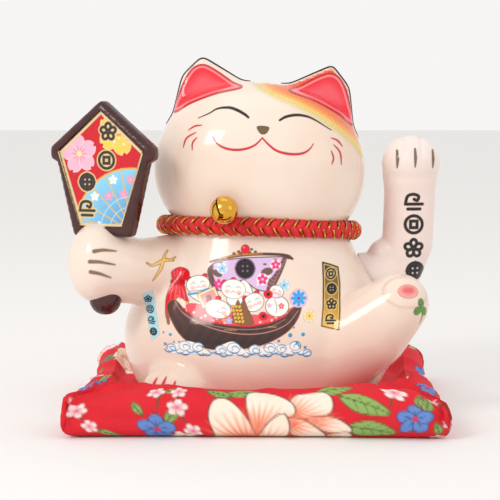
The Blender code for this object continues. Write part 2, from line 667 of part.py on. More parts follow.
def lead_wires(box_end, cell_z):
    """Two insulated leads from the contacts at the box's end, up through the shelf's slot to the board."""
    board_z = SHELF_TOP + GAP + 0.9 * MM
    for name, y, finish in (("lead_black", -CELL_Y, DARK_PLASTIC), ("lead_red", CELL_Y, RED_PLASTIC)):
        bend = 1.3 * MM
        route = [
            (-box_end + 0.2 * MM, y, cell_z),
            (-box_end - 0.6 * MM, y, cell_z),
            (-box_end - bend, y, cell_z + 0.7 * MM),
            (-box_end - bend, y, cell_z + 3 * MM),
            (-box_end - bend, y, board_z - 1.5 * MM),
            (-box_end - bend + 0.3 * MM, y, board_z - 0.4 * MM),
            (-box_end - bend + 1.2 * MM, y, board_z),
            (-28 * MM - GAP, y, board_z),
        ]
        wire(name, route, 0.55 * MM, finish, sides=1)


def base():
    up = Vector((0, 0, 1))
    cover = piece("base_cover", rod(up * COVER_Z, up * COVER_TOP, COVER_R, 64), DARK_PLASTIC)
    half = BOX / 2
    way = half - Vector((BOX_WALL + 0.5 * MM, BOX_WALL + 0.5 * MM, 0))
    mouth = box((-way.x, -way.y, COVER_Z - 9 * MM), (way.x, way.y, COVER_TOP + 1 * MM))
    rail_foot = DOOR_Z - GAP - 1.2 * MM
    for number, side in enumerate((-1, 1), 1):
        edge = side * (DOOR.y / 2 + GAP)
        outer = side * (DOOR.y / 2 + 2 * MM)
        lip = side * (DOOR.y / 2 - 1.5 * MM)
        y0, y1 = sorted((edge, outer))
        wall = box((-20 * MM, y0, rail_foot), (20 * MM, y1, COVER_Z + 1 * MM))
        boolean(cover, cutter(f"rail_wall_{number}", wall), "UNION")
        y0, y1 = sorted((lip, outer))
        boolean(cover, cutter(f"rail_lip_{number}", box((-20 * MM, y0, rail_foot), (20 * MM, y1, rail_foot + 1.2 * MM))), "UNION")
    boolean(cover, cutter("battery_mouth", inner_mouth(way, mouth)))
    slot = box((-4.2 * MM, SWITCH_Y - 1.7 * MM, COVER_Z - 1 * MM), (4.2 * MM, SWITCH_Y + 1.7 * MM, COVER_TOP + 1 * MM))
    boolean(cover, cutter("switch_slot", slot))
    for number, (a, b) in enumerate(((-1, -1), (-1, 1), (1, -1), (1, 1)), 1):
        at = Vector((a * POST_AT.x, b * POST_AT.y, 0))
        hole = rod(at + up * (COVER_Z - 1 * MM), at + up * (COVER_TOP + 1 * MM), SCREW_R + GAP, 16)
        boolean(cover, cutter(f"cover_hole_{number}", hole))
    place(settled(cover))
    door = piece("battery_door", box((-DOOR.x / 2, -DOOR.y / 2, DOOR_Z), (DOOR.x / 2, DOOR.y / 2, DOOR_Z + DOOR.z)), DARK_PLASTIC)
    for number in range(4):
        x = (-26 + 3 * number) * MM
        grip = box((x, -7 * MM, DOOR_Z - 0.7 * MM), (x + 1.2 * MM, 7 * MM, DOOR_Z + 0.5 * MM))
        boolean(door, cutter(f"door_grip_{number}", grip), "UNION")
    place(settled(door))
    switch_low = COVER_TOP + GAP
    place(piece("switch_body", box((-6 * MM, SWITCH_Y - 3 * MM, switch_low), (6 * MM, SWITCH_Y + 3 * MM, switch_low + 4 * MM)), STEEL))
    x = -SWITCH_TRAVEL / 2
    knob = box(
        (x - 1.9 * MM, SWITCH_Y - 1.3 * MM, COVER_Z - 1.6 * MM),
        (x + 1.9 * MM, SWITCH_Y + 1.3 * MM, COVER_TOP),
    )
    place(piece("switch_knob", knob, WHITE_PLASTIC))


def inner_mouth(way, mouth):
    """The mouth goes through the cover only, not through the rails under it."""
    mouth.free()
    return box((-way.x, -way.y + 1.5 * MM, COVER_Z - 0.5 * MM), (way.x, way.y - 1.5 * MM, COVER_TOP + 1 * MM))


# ---- collar and bell ----------------------------------------------------------------------------------------------
def collar():
    turn = collar_turn()
    place(ring("collar_cord", COLLAR_CENTRE, COLLAR_HALF, CORD_R, turn, CORD_RED, around=72, sides=10))


def bell_frame():
    """(hinge point, tangent of the cord, direction from the hinge to the bell), in the cat's own frame."""
    a, b = COLLAR_HALF
    x = BELL_CORD_X
    y = -b * math.sqrt(1 - (x / a) ** 2)
    turn = collar_turn()
    along = turn @ Vector((1, b * x / (a * a * math.sqrt(1 - (x / a) ** 2)), 0)).normalized()
    out = along.cross(Vector((0, 0, 1))).normalized()
    rise = out.cross(along) * -1
    if rise.z < 0:
        rise = -rise
    direction = (out * math.cos(BELL_RISE) + rise * math.sin(BELL_RISE)).normalized()
    on_cord = COLLAR_CENTRE + turn @ Vector((x, y, 0))
    return on_cord, on_cord + direction * BELL_HINGE_OUT, along, direction


def bell():
    on_cord, hinge, along, direction = bell_frame()
    centre = hinge + direction * BELL_ARM
    side = direction.cross(along).normalized()
    for name, sign in (("bell_top_shell", -1), ("bell_slotted_shell", 1)):
        bm = bmesh.new()
        bmesh.ops.create_uvsphere(bm, u_segments=24, v_segments=14, radius=BELL_R)
        spin = direction.to_track_quat("Z", "Y").to_matrix().to_4x4()
        bmesh.ops.transform(bm, matrix=Matrix.Translation(centre) @ spin, verts=bm.verts)
        bmesh.ops.bisect_plane(
            bm,
            geom=bm.verts[:] + bm.edges[:] + bm.faces[:],
            plane_co=centre + direction * sign * GAP / 2,
            plane_no=-direction * sign,
            clear_outer=True,
        )
        shell = piece(name, bm, BELL_GOLD)
        skin = shell.modifiers.new("skin", "SOLIDIFY")
        skin.thickness = BELL_SKIN
        skin.offset = -1
        settled(shell)
        if sign > 0:
            slot = rotated_box(centre, direction, side, (0.6 * MM, BELL_R * 0.8, BELL_R * 1.3))
            boolean(shell, cutter("bell_slot", slot))
            for end in (-1, 1):
                at = centre + side * end * BELL_R * 0.8 + direction * BELL_R * 0.55
                boolean(shell, cutter(f"bell_hole_{end}", rod(centre, centre + (at - centre) * 1.5, 1.5 * MM, 16)))
        else:
            eye = rod(centre - direction * (BELL_R - 0.3 * MM), centre - direction * (BELL_R + 1.2 * MM), 1.7 * MM, 16)
            boolean(shell, cutter("bell_eye", eye), "UNION")
            hole_at = centre - direction * (BELL_R + 0.6 * MM)
        place(settled(shell))
    bm = bmesh.new()
    bmesh.ops.create_icosphere(bm, subdivisions=2, radius=2.6 * MM, matrix=Matrix.Translation(centre))
    place(piece("bell_pea", bm, STEEL))
    tie_on = on_cord + direction * (CORD_R + GAP)
    tie = rod(tie_on, hole_at - direction * (0.6 * MM + GAP + 0.3 * MM), 0.9 * MM, 16)
    place(piece("bell_tie", tie, BELL_GOLD))


def rotated_box(centre, direction, side, half):
    """A box whose long way is side and whose height is direction, from the centre outwards."""
    bm = bmesh.new()
    bmesh.ops.create_cube(bm, size=2)
    across = direction.cross(side)
    turn = Matrix((across, side, direction)).transposed().to_4x4()
    size = Matrix.Diagonal((half[0], half[1], half[2] / 2, 1))
    bmesh.ops.transform(bm, matrix=size, verts=bm.verts)
    at = centre + direction * half[2] / 2
    bmesh.ops.transform(bm, matrix=Matrix.Translation(at) @ turn, verts=bm.verts)
    return bm


# ---- the cushion --------------------------------------------------------------------------------------------------
def cushion_top(u, v, x, y):
    """Height of the cushion's upper skin: flat under the cat, rising to a plump rim that thins at the corners."""
    low = SEAT_Z - GAP
    hollow_x, hollow_y = CUSHION_HOLLOW
    reach = ((abs(x) / hollow_x) ** 3 + (abs(y) / hollow_y) ** 3) ** (1 / 3)
    share = min(1.0, max(0.0, (reach - 1) * hollow_y / CUSHION_CREST))
    rim = CUSHION.z * (1 - 0.17 * (u * v) ** 6)
    return low + (rim - low) * share * share * (3 - 2 * share)


def cushion(clearance):
    """A puffed square: a grid on top, rounded sides and a flat underside."""
    half = CUSHION / 2
    cells, rows = 26, 6
    bm = bmesh.new()

    def outline(u, v, inset):
        pinch_u, pinch_v = 1 - CUSHION_PINCH * (1 - v * v), 1 - CUSHION_PINCH * 0.4 * (1 - u * u)
        return u * (half.x * pinch_u - inset), v * (half.y * pinch_v - inset)

    grid = {}
    for i in range(cells + 1):
        for j in range(cells + 1):
            u, v = 2 * i / cells - 1, 2 * j / cells - 1
            x, y = outline(u, v, half.z)
            grid[i, j] = bm.verts.new((x, y, cushion_top(u, v, x, y)))
    for i in range(cells):
        for j in range(cells):
            bm.faces.new((grid[i, j], grid[i + 1, j], grid[i + 1, j + 1], grid[i, j + 1]))
    edge = [(i, 0) for i in range(cells)] + [(cells, j) for j in range(cells)]
    edge += [(i, cells) for i in range(cells, 0, -1)] + [(0, j) for j in range(cells, 0, -1)]
    above = [grid[at] for at in edge]
    for row in range(1, rows + 1):
        angle = math.pi / 2 - math.pi * row / rows
        out, up = math.cos(angle), math.sin(angle)
        if up < 0:
            out = (1 - abs(up) ** 2.8) ** (1 / 2.8)
        loop = []
        for i, j in edge:
            u, v = 2 * i / cells - 1, 2 * j / cells - 1
            x, y = outline(u, v, half.z * (1 - out))
            middle = grid[i, j].co.z / 2
            loop.append(bm.verts.new((x, y, middle * (1 + up))))
        if row == rows:
            for vertex in loop:
                vertex.co.x *= 0.955
                vertex.co.y *= 0.955
        for k in range(len(edge)):
            after = (k + 1) % len(edge)
            bm.faces.new((above[k], above[after], loop[after], loop[k]))
        above = loop
    bm.faces.new(above)
    bmesh.ops.transform(bm, matrix=Matrix.Rotation(CUSHION_TURN, 4, "Z"), verts=bm.verts)
    made = place(piece("cushion", bm, CUSHION_PRINT, sharp=180))
    boolean(place(clearance), cutter("above_the_seat", box(Vector((-150, -150, -60)) * MM, (0.15, 0.15, SEAT_Z))))
    boolean(made, settled(clearance))
    return settled(made)


# ---- the whole object ---------------------------------------------------------------------------------------------
clear_scene()
PARTS = collection("beckoning_cat")
CUTTERS = collection("cutters")
CERAMIC = material("glazed_ceramic", (0.86, 0.78, 0.70), 0.12)
BROWN_GLAZE = material("brown_glaze", (0.13, 0.035, 0.025), 0.15)
ARM_PLASTIC = material("cream_plastic", (0.86, 0.76, 0.70), 0.35)
WHITE_PLASTIC = material("white_plastic", (0.75, 0.75, 0.72), 0.45)
DARK_PLASTIC = material("black_plastic", (0.03, 0.03, 0.03), 0.5)
RED_PLASTIC = material("red_insulation", (0.5, 0.02, 0.02), 0.5)
STEEL = material("bright_steel", (0.6, 0.6, 0.6), 0.3, 1.0)
BRASS = material("brass", (0.7, 0.5, 0.2), 0.35, 1.0)
ALUMINIUM = material("aluminium", (0.7, 0.7, 0.72), 0.35, 1.0)
COPPER = material("copper_wire", (0.6, 0.25, 0.1), 0.35, 1.0)
BOARD_GREEN = material("board_green", (0.02, 0.16, 0.07), 0.4)
CELL_LABEL = material("cell_label", (0.08, 0.1, 0.2), 0.35)
BELL_GOLD = material("bell_gold", (0.8, 0.5, 0.12), 0.12, 1.0)
CORD_RED = material("red_cord", (0.6, 0.02, 0.02), 0.7)
CUSHION_PRINT = material("printed_cotton", (0.65, 0.02, 0.03), 0.85)

cat_clearance = ceramic_cat()
plaque(cat_clearance)
cushion(cat_clearance)
arm_and_shaft()
pendulum()
movement_frame()
coil_and_board()
battery_box()
base()
collar()
bell()
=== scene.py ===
import math

import bmesh
import bpy
import numpy as np
from mathutils import Matrix, Vector, noise
from mathutils.bvhtree import BVHTree


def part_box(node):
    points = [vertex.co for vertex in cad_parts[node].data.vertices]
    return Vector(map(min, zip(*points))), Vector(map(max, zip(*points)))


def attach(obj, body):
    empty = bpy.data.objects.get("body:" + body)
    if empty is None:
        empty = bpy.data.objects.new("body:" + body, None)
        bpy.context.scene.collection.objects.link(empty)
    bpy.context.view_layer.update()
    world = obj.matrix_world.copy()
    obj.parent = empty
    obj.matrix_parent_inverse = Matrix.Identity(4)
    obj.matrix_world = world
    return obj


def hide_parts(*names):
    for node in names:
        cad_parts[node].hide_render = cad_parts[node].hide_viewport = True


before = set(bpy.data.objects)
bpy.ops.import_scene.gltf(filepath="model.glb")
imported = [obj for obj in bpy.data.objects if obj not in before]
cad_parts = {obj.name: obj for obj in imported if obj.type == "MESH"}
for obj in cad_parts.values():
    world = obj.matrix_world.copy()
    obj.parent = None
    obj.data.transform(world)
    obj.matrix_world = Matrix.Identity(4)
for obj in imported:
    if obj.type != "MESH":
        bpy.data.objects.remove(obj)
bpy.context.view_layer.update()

MM = 0.001
for chosen in list(bpy.context.selected_objects):
    chosen.select_set(False)

# ---- places taken from the frame --------------------------------------------------------------------------------


def box(node):
    low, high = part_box(node)
    return Vector(low), Vector(high)


def middle(node):
    low, high = box(node)
    return (low + high) / 2


CAT = Vector((middle("base_cover").x, middle("base_cover").y, 0))  # the cat's upright axis
SEAT_Z = box("ceramic_cat")[0].z
ARM_AXIS = middle("arm_shaft") - CAT
ARM_AXIS.x = 0

# ---- the same driving sizes as the solids, round the cat's own axis ---------------------------------------------
BODY_LEAN = -3 * MM
BODY_DEPTH = 0.79
BODY_PROFILE = (
    (6, 64), (14, 73.5), (22, 78), (32, 81.8), (45, 83.5), (55, 82.4), (65, 78.8),
    (76, 72.8), (88, 65.3), (98, 59.6), (107, 55.3), (116, 52), (126, 49), (136, 45),
)
HEAD = (Vector((0.6, -2, 151)) * MM, Vector((65, 54, 51)) * MM)
HEAD_ROLL = math.radians(4)
BOXY = 2.35
HEAD_TAPER = 0.09
WALL = 8 * MM
BASE_HOLE_R = 48 * MM
EAR_ROOT, EAR_SHOULDER, EAR_TIP, EAR_CROWN = (Vector(at) * MM for at in ((58, 12), (51, 51), (40, 63.5), (4, 45)))
EAR_TIP_THICK, EAR_ROOT_THICK = 11 * MM, 32 * MM
COLLAR_CENTRE = Vector((0, 0, 112.2)) * MM
COLLAR_HALF = Vector((57.3, 48.5)) * MM
CORD_R = 6.2 * MM
COLLAR_ROLL, COLLAR_PITCH = math.radians(1.8), math.radians(4.8)
ARM_ROOT_R = 14 * MM
ARM_SKIN = 1.2 * MM
SOCKET_X = 61 * MM
ARM_RUN_X = 93.5 * MM
ARM_TOP_Z = 169 * MM
FIST = (Vector((-96.3, -46, 95)) * MM, Vector((17.5, 20, 24.5)) * MM)
CUSHION = Vector((223, 214, 30)) * MM
CUSHION_TURN = math.radians(-1.2)
CUSHION_HOLLOW = Vector((86, 82)) * MM  # half sizes of the flat hollow that the cat sits in
CUSHION_CREST = 11 * MM  # from the hollow's edge to the rim's highest line
CUSHION_PINCH = 0.05  # how far the sides draw in between the corners
PLAQUE_X, PLAQUE_Y = -91.5 * MM, -47 * MM
PLAQUE_TURN = math.radians(-22)
PLAQUE_FOOT_Z, PLAQUE_SIDE_Z, PLAQUE_TOP_Z = 111 * MM, 162 * MM, 191 * MM
PLAQUE_FOOT_W, PLAQUE_W, PLAQUE_THICK, PLAQUE_RIM = 38 * MM, 66 * MM, 11 * MM, 5.5 * MM
HANDLE_R, HANDLE_FOOT_Z = 9.9 * MM, 64 * MM
BELL_R = 8.3 * MM
GAP = 0.3 * MM

# ---- colour and shaders -----------------------------------------------------------------------------------------


def rgb(text):
    """A colour written the way a paint chart does, in the renderer's linear light."""
    value = [int(text[i : i + 2], 16) / 255 for i in (0, 2, 4)]
    return tuple(c / 12.92 if c <= 0.04045 else ((c + 0.055) / 1.055) ** 2.4 for c in value)


class Num:
    """A shader number or vector, so that shader maths reads as maths."""

    def __init__(self, tree, socket):
        self.tree, self.socket = tree, socket

    def node(self, kind, output=0, inputs=(), **settings):
        made = self.tree.nodes.new(kind)
        for name, value in settings.items():
            setattr(made, name, value)
        for name, value in dict(inputs).items():
            target = made.inputs[name]
            if isinstance(value, Num):
                self.tree.links.new(value.socket, target)
            else:
                target.default_value = value
        return Num(self.tree, made.outputs[output])

    def math(self, operation, other=0.0, third=0.0):
        return self.node("ShaderNodeMath", 0, {0: self, 1: other, 2: third}, operation=operation)

    def __add__(self, other):
        return self.math("ADD", other)

    def __sub__(self, other):
        return self.math("SUBTRACT", other)

    def __mul__(self, other):
        return self.math("MULTIPLY", other)

    def __truediv__(self, other):
        return self.math("DIVIDE", other)

    def ramp(self, low, high, start=0.0, end=1.0):
        """Smoothly from start at low to end at high."""
        values = {0: self, 1: low, 2: high, 3: start, 4: end}
        return self.node("ShaderNodeMapRange", 0, values, interpolation_type="SMOOTHSTEP")

    def noise(self, scale, detail=2.0, rough=0.5):
        values = {"Vector": self, "Scale": scale, "Detail": detail, "Roughness": rough}
        return self.node("ShaderNodeTexNoise", 0, values)

    def mix(self, first, second):
        """A colour between two, by this number."""
        made = self.tree.nodes.new("ShaderNodeMix")
        made.data_type = "RGBA"
        self.tree.links.new(self.socket, made.inputs[0])
        for target, value in ((made.inputs[6], first), (made.inputs[7], second)):
            if isinstance(value, Num):
                self.tree.links.new(value.socket, target)
            else:
                target.default_value = (*value, 1)
        return Num(self.tree, made.outputs[2])


def material(name, colour, roughness, metallic=0.0, coat=0.0, extra=()):
    """A Principled material. Returns (material, its shader node, Object coordinates as a Num)."""
    made = bpy.data.materials.new(name)
    made.use_nodes = True
    shader = made.node_tree.nodes["Principled BSDF"]
    shader.inputs["Base Color"].default_value = (*colour, 1)
    shader.inputs["Roughness"].default_value = roughness
    shader.inputs["Metallic"].default_value = metallic
    shader.inputs["Coat Weight"].default_value = coat
    for socket, value in dict(extra).items():
        shader.inputs[socket].default_value = value
    place = Num(made.node_tree, None).node("ShaderNodeTexCoord", "Object")
    return made, shader, place


def feed(shader, socket, value):
    value.tree.links.new(value.socket, shader.inputs[socket])


def bump(shader, height, distance, strength=1.0):
    normal = height.node("ShaderNodeBump", 0, {"Height": height, "Distance": distance, "Strength": strength})
    feed(shader, "Normal", normal)


def mottled(name, colour, second, roughness, scale, metallic=0.0, coat=0.0, relief=0.0, extra=()):
    """A material whose colour and gloss vary a little over the surface."""
    made, shader, place = material(name, colour, roughness, metallic, coat, extra)
    cloud = place.noise(scale, 3.0)
    feed(shader, "Base Color", cloud.ramp(0.35, 0.65).mix(colour, second))
    feed(shader, "Roughness", place.noise(scale * 3).ramp(0.3, 0.7, roughness * 0.85, roughness * 1.2))
    if relief:
        bump(shader, place.noise(scale * 8, 4.0), relief)
    return made


def painted(name, roughness, coat=0.0, see_through=False):
    """Colour painted on the piece's own points, in its attribute called paint."""
    made, shader, place = material(name, (0.5, 0.5, 0.5), roughness, coat=coat)
    paint = place.node("ShaderNodeAttribute", "Color", attribute_name="paint")
    feed(shader, "Base Color", paint)
    if see_through:
        alpha = place.node("ShaderNodeAttribute", "Alpha", attribute_name="paint")
        feed(shader, "Alpha", alpha)
    return made, shader, place


CREAM, CREAM_SHADE = rgb("f0dfd0"), rgb("ecd3c2")
GLAZE = mottled("cat_glaze", CREAM, CREAM_SHADE, 0.13, 14, relief=0.00008)
EAR_RIM = mottled("ear_rim", rgb("2b1a18"), rgb("1f1311"), 0.15, 60)
BROWN = mottled("brown_glaze", rgb("4a211d"), rgb("3a1815"), 0.16, 60, relief=0.0002)
ARM_CREAM = mottled("arm_plastic", rgb("f0e2dc"), rgb("eedad2"), 0.3, 20)
CORD_RED = mottled("cord_red", rgb("e0202a"), rgb("c81820"), 0.6, 500)
GOLD_THREAD = mottled("gold_thread", rgb("e8c060"), rgb("9a6a20"), 0.25, 400, metallic=1.0)
BELL_GOLD = mottled("bell_gold", rgb("e9b64e"), rgb("dca43c"), 0.09, 120, metallic=1.0)
STEEL = mottled("steel", rgb("b8b8ba"), rgb("a0a0a4"), 0.3, 300, metallic=1.0)
BRASS = mottled("bush_brass", rgb("c8a050"), rgb("b08a40"), 0.35, 300, metallic=1.0)
ALUMINIUM = mottled("capacitor_can", rgb("c0c0c4"), rgb("b0b0b4"), 0.35, 200, metallic=1.0)
COPPER = mottled("copper", rgb("b86a3c"), rgb("a05428"), 0.35, 900, metallic=1.0)
BLACK_PLASTIC = mottled("black_plastic", rgb("26262a"), rgb("1e1e22"), 0.45, 200, relief=0.0001)
WHITE_PLASTIC = mottled("white_plastic", rgb("e4e2dc"), rgb("dcdad2"), 0.4, 200)
RED_PLASTIC = mottled("red_insulation", rgb("b81c1c"), rgb("a01414"), 0.45, 300)
BOARD = mottled("board_green", rgb("1c5c38"), rgb("174c2e"), 0.4, 300)
CELL = mottled("cell_label", rgb("2a3a5c"), rgb("1e2c4a"), 0.3, 100)
FILM, _, _ = painted("transfer_print", 0.1, see_through=True)

# ---- meshes -----------------------------------------------------------------------------------------------------


def piece(name, bm, finish, body, sharp=None, stands_for=()):
    """One visible piece, made round the cat's own axis and moved to where the cat stands."""
    mesh = bpy.data.meshes.new(name)
    bmesh.ops.transform(bm, matrix=Matrix.Translation(CAT), verts=bm.verts)
    bm.to_mesh(mesh)
    bm.free()
    mesh.shade_smooth()
    if sharp:
        mesh.set_sharp_from_angle(angle=math.radians(sharp))
    obj = bpy.data.objects.new(name, mesh)
    bpy.context.scene.collection.objects.link(obj)
    obj.data.materials.append(finish)
    return declare(obj, body, stands_for)


def declare(obj, body, stands_for=()):
    if body:
        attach(obj, body)
    if stands_for:
        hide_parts(*stands_for)
    return obj


def worker(bm):
    """A helper mesh that isn't part of the object; removed when it has been used."""
    mesh = bpy.data.meshes.new("worker")
    bmesh.ops.recalc_face_normals(bm, faces=bm.faces)
    bm.to_mesh(mesh)
    bm.free()
    obj = bpy.data.objects.new("worker", mesh)
    bpy.context.scene.collection.objects.link(obj)
    return obj


def remove(*objects):
    for obj in objects:
        bpy.data.objects.remove(obj)


def settled(obj):
    graph = bpy.context.evaluated_depsgraph_get()
    mesh = bpy.data.meshes.new_from_object(obj.evaluated_get(graph))
    obj.modifiers.clear()
    obj.data = mesh
    return obj


def boolean(obj, helper, operation="DIFFERENCE"):
    made = obj.modifiers.new("cut", "BOOLEAN")
    made.object = helper
    made.operation = operation
    settled(obj)
    remove(helper)
    return obj


def fuse(obj, voxel, rounds, keep=None):
    skin = obj.modifiers.new("skin", "REMESH")
    skin.mode = "VOXEL"
    skin.voxel_size = voxel
    soften = obj.modifiers.new("soften", "SMOOTH")
    soften.factor = 0.5
    soften.iterations = rounds
    if keep:
        thin = obj.modifiers.new("thin", "DECIMATE")
        thin.ratio = keep
    return settled(obj)


def as_bmesh(obj):
    """The helper's mesh as a bmesh; the helper goes."""
    bm = bmesh.new()
    bm.from_mesh(obj.data)
    remove(obj)
    return bm


def add_box(bm, low, high):
    low, high = Vector(low), Vector(high)
    size = Matrix.Diagonal((*(high - low), 1))
    bmesh.ops.create_cube(bm, size=1, matrix=Matrix.Translation((low + high) / 2) @ size)
    return bm


def rod(start, end, radius, segments=48):
    bm = bmesh.new()
    start, end = Vector(start), Vector(end)
    along = end - start
    turn = along.to_track_quat("Z", "Y").to_matrix().to_4x4()
    at = Matrix.Translation((start + end) / 2) @ turn
    bmesh.ops.create_cone(bm, cap_ends=True, segments=segments, radius1=radius, radius2=radius, depth=along.length,
        matrix=at)
    return bm


def add_lump(bm, centre, radii, power=2.0, turn=Matrix.Identity(4), rings=20):
    made = bmesh.ops.create_uvsphere(bm, u_segments=2 * rings, v_segments=rings, radius=1)
    for vertex in made["verts"]:
        n = vertex.co
        reach = sum(abs(c) ** power for c in n) ** (-1 / power)
        vertex.co = Vector(centre) + turn @ Vector(c * r * reach for c, r in zip(n, radii))


def add_limb(bm, stations, steps=5):
    for (here, size), (there, next_size) in zip(stations, stations[1:]):
        for step in range(steps + 1):
            share = step / steps
            add_lump(bm, here.lerp(there, share), size.lerp(next_size, share), rings=14)


def add_tube(bm, points, radii, sides=8, flat=1.0, closed=False):
    """A tube along points with a radius at each; flat under 1 presses it towards its own up side."""
    points = [Vector(p) for p in points]
    count = len(points)
    loops, up = [], None
    for k, point in enumerate(points):
        before, after = points[(k - 1) % count if closed else max(k - 1,
            0)], points[(k + 1) % count if closed else min(k + 1, count - 1)]
        along = (after - before).normalized()
        if up is None:
            up = Vector((0, 0, 1)) if abs(along.z) < 0.9 else Vector((0, 1, 0))
        across = along.cross(up).normalized()
        up = across.cross(along).normalized()
        radius = radii[k] if hasattr(radii, "__len__") else radii
        loop = []
        for side in range(sides):
            angle = 2 * math.pi * side / sides
            loop.append(bm.verts.new(point + across * radius * math.cos(angle) + up * radius * flat * math.sin(angle)))
        loops.append(loop)
    pairs = list(zip(loops, loops[1:])) + ([(loops[-1], loops[0])] if closed else [])
    for first, second in pairs:
        for side in range(sides):
            after = (side + 1) % sides
            bm.faces.new((first[side], second[side], second[after], first[after]))
    if not closed:
        bm.faces.new(loops[0])
        bm.faces.new(loops[-1][::-1])


# ---- the ceramic cat --------------------------------------------------------------------------------------------


def spline(points, per=8, closed=False):
    """A smooth line through points, as an array."""
    p = np.array(points, float)
    count = len(p)
    out = []
    for k in range(count if closed else count - 1):
        a, b, c, d = (p[i % count] if closed else p[min(max(i, 0), count - 1)] for i in (k - 1, k, k + 1, k + 2))
        for step in range(per):
            t = step / per
            out.append(0.5 * (2 * b + (c - a) * t + (2 * a - 5 * b + 4 * c - d) * t**2 + (3 * b - a - 3 * c + d) * t**3))
    if not closed:
        out.append(p[-1])
    return np.array(out)


def head_matrix():
    return Matrix.Translation(HEAD[0]) @ Matrix.Rotation(HEAD_ROLL, 4, "Y")


def collar_turn():
    return (Matrix.Rotation(COLLAR_ROLL, 4, "Y") @ Matrix.Rotation(-COLLAR_PITCH, 4, "X")).to_3x3()


def add_ear(bm, side):
    place_in_head = head_matrix()
    rings = []
    for face in (-0.5, 0.5):
        loop = []
        for point, thick in (
            (EAR_TIP, EAR_TIP_THICK),
            (EAR_SHOULDER, EAR_TIP_THICK * 1.5),
            (EAR_ROOT, EAR_ROOT_THICK),
            (EAR_CROWN, EAR_ROOT_THICK),
        ):
            loop.append(bm.verts.new(place_in_head @ Vector((point.x * side, face * thick, point.y))))
        rings.append(bm.faces.new(loop))
    bmesh.ops.bridge_loops(bm, edges=[edge for ring_face in rings for edge in ring_face.edges])


def add_body(bm, inset, around=72):
    rings = []
    for height, half in spline(BODY_PROFILE, 4):
        width = half * MM - inset
        depth = half * MM * BODY_DEPTH - inset
        ring_of = []
        for step in range(around):
            angle = 2 * math.pi * step / around
            c, s = math.cos(angle), math.sin(angle)
            reach = (abs(c) ** 2.15 + abs(s) ** 2.15) ** (-1 / 2.15)
            ring_of.append(bm.verts.new((width * c * reach, BODY_LEAN + depth * s * reach, height * MM)))
        rings.append(ring_of)
    bm.faces.new(rings[0])
    bm.faces.new(rings[-1])
    for low, high in zip(rings, rings[1:]):
        for step in range(around):
            after = (step + 1) % around
            bm.faces.new((low[step], low[after], high[after], high[step]))


def add_head(bm, inset=0.0):
    radii = HEAD[1]
    first = len(bm.verts)
    add_lump(bm, (0, 0, 0), radii - Vector((inset, inset, inset)), power=BOXY, rings=48)
    bm.verts.ensure_lookup_table()
    for vertex in bm.verts[first:]:
        vertex.co.x *= 1 - HEAD_TAPER * max(0.0, vertex.co.z / radii.z)
        vertex.co = head_matrix() @ vertex.co


def cat_outside(bm):
    add_body(bm, 0.0)
    add_head(bm)
    for side in (-1, 1):
        add_ear(bm, side)
    shoulder = (Vector((-46, -14, 88)) * MM, Vector((20, 21, 22)) * MM)
    elbow = (Vector((-74, -32, 88)) * MM, Vector((19, 20, 20)) * MM)
    wrist = (Vector((-84, -39, 91)) * MM, Vector((18, 20, 21)) * MM)
    add_limb(bm, [shoulder, elbow, wrist, FIST], steps=8)
    hip = (Vector((40, -32, 38)) * MM, Vector((33, 30, 28)) * MM)
    knee = (Vector((64, -45, 54)) * MM, Vector((26, 22, 25)) * MM)
    sole = (Vector((82.5, -52, 71)) * MM, Vector((18.5, 17, 18.5)) * MM)
    add_limb(bm, [hip, knee, sole], steps=10)
    add_limb(
        bm,
        [
            (Vector((-38, -38, 22)) * MM, Vector((26, 24, 18)) * MM),
            (Vector((-51, -53, 20)) * MM, Vector((19, 20, 15)) * MM),
        ],
        steps=8,
    )


def cat_cavity():
    bm = bmesh.new()
    add_body(bm, WALL, 48)
    add_head(bm, WALL * 1.3)
    hollow = fuse(worker(bm), 6 * MM, 3)
    return boolean(hollow, worker(rod((0, 0, 0), (0, 0, 40 * MM), BASE_HOLE_R)), "UNION")


def ceramic_cat():
    bm = bmesh.new()
    cat_outside(bm)
    fine = 1.6 * MM
    cat = fuse(worker(bm), fine, int(8 * (3 * MM / fine) ** 2))
    boolean(cat, worker(add_box(bmesh.new(), Vector((-150, -150, -60)) * MM, (0.15, 0.15, SEAT_Z))))
    boolean(cat, cat_cavity())
    x = Vector((1, 0, 0))
    boolean(cat, worker(rod(ARM_AXIS + x * SOCKET_X, ARM_AXIS + x * 140 * MM, ARM_ROOT_R + 1.6 * MM)))
    boolean(cat, worker(rod(ARM_AXIS, ARM_AXIS + x * 100 * MM, 6 * MM)))
    return piece("cat", as_bmesh(cat), GLAZE, "cat", 60, ["ceramic_cat"])


cat = ceramic_cat()

# ---- plain finishes on the solids that show as they are -----------------------------------------------------------
FINISH = {
    "switch_body": STEEL, "arm_shaft": STEEL, "shaft_clip_inner": STEEL, "shaft_clip_outer": STEEL,
    "counterweight": STEEL, "pendulum_magnet": STEEL, "bell_pea": STEEL, "bell_tie": BELL_GOLD,
    "shaft_bush_inner": BRASS, "shaft_bush_outer": BRASS, "storage_capacitor": ALUMINIUM, "coil_winding": COPPER,
    "circuit_board": BOARD, "arm_hub": WHITE_PLASTIC, "pendulum_lever": WHITE_PLASTIC, "switch_knob": WHITE_PLASTIC,
    "lead_red": RED_PLASTIC, "aa_cell_1": CELL, "aa_cell_2": CELL,
}
for name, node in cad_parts.items():
    finish = FINISH.get(name)
    if finish is None:
        finish = STEEL if name.startswith(("frame_screw", "contact_")) else BLACK_PLASTIC
    node.data.materials.clear()
    node.data.materials.append(finish)

# ---- the waving arm ---------------------------------------------------------------------------------------------


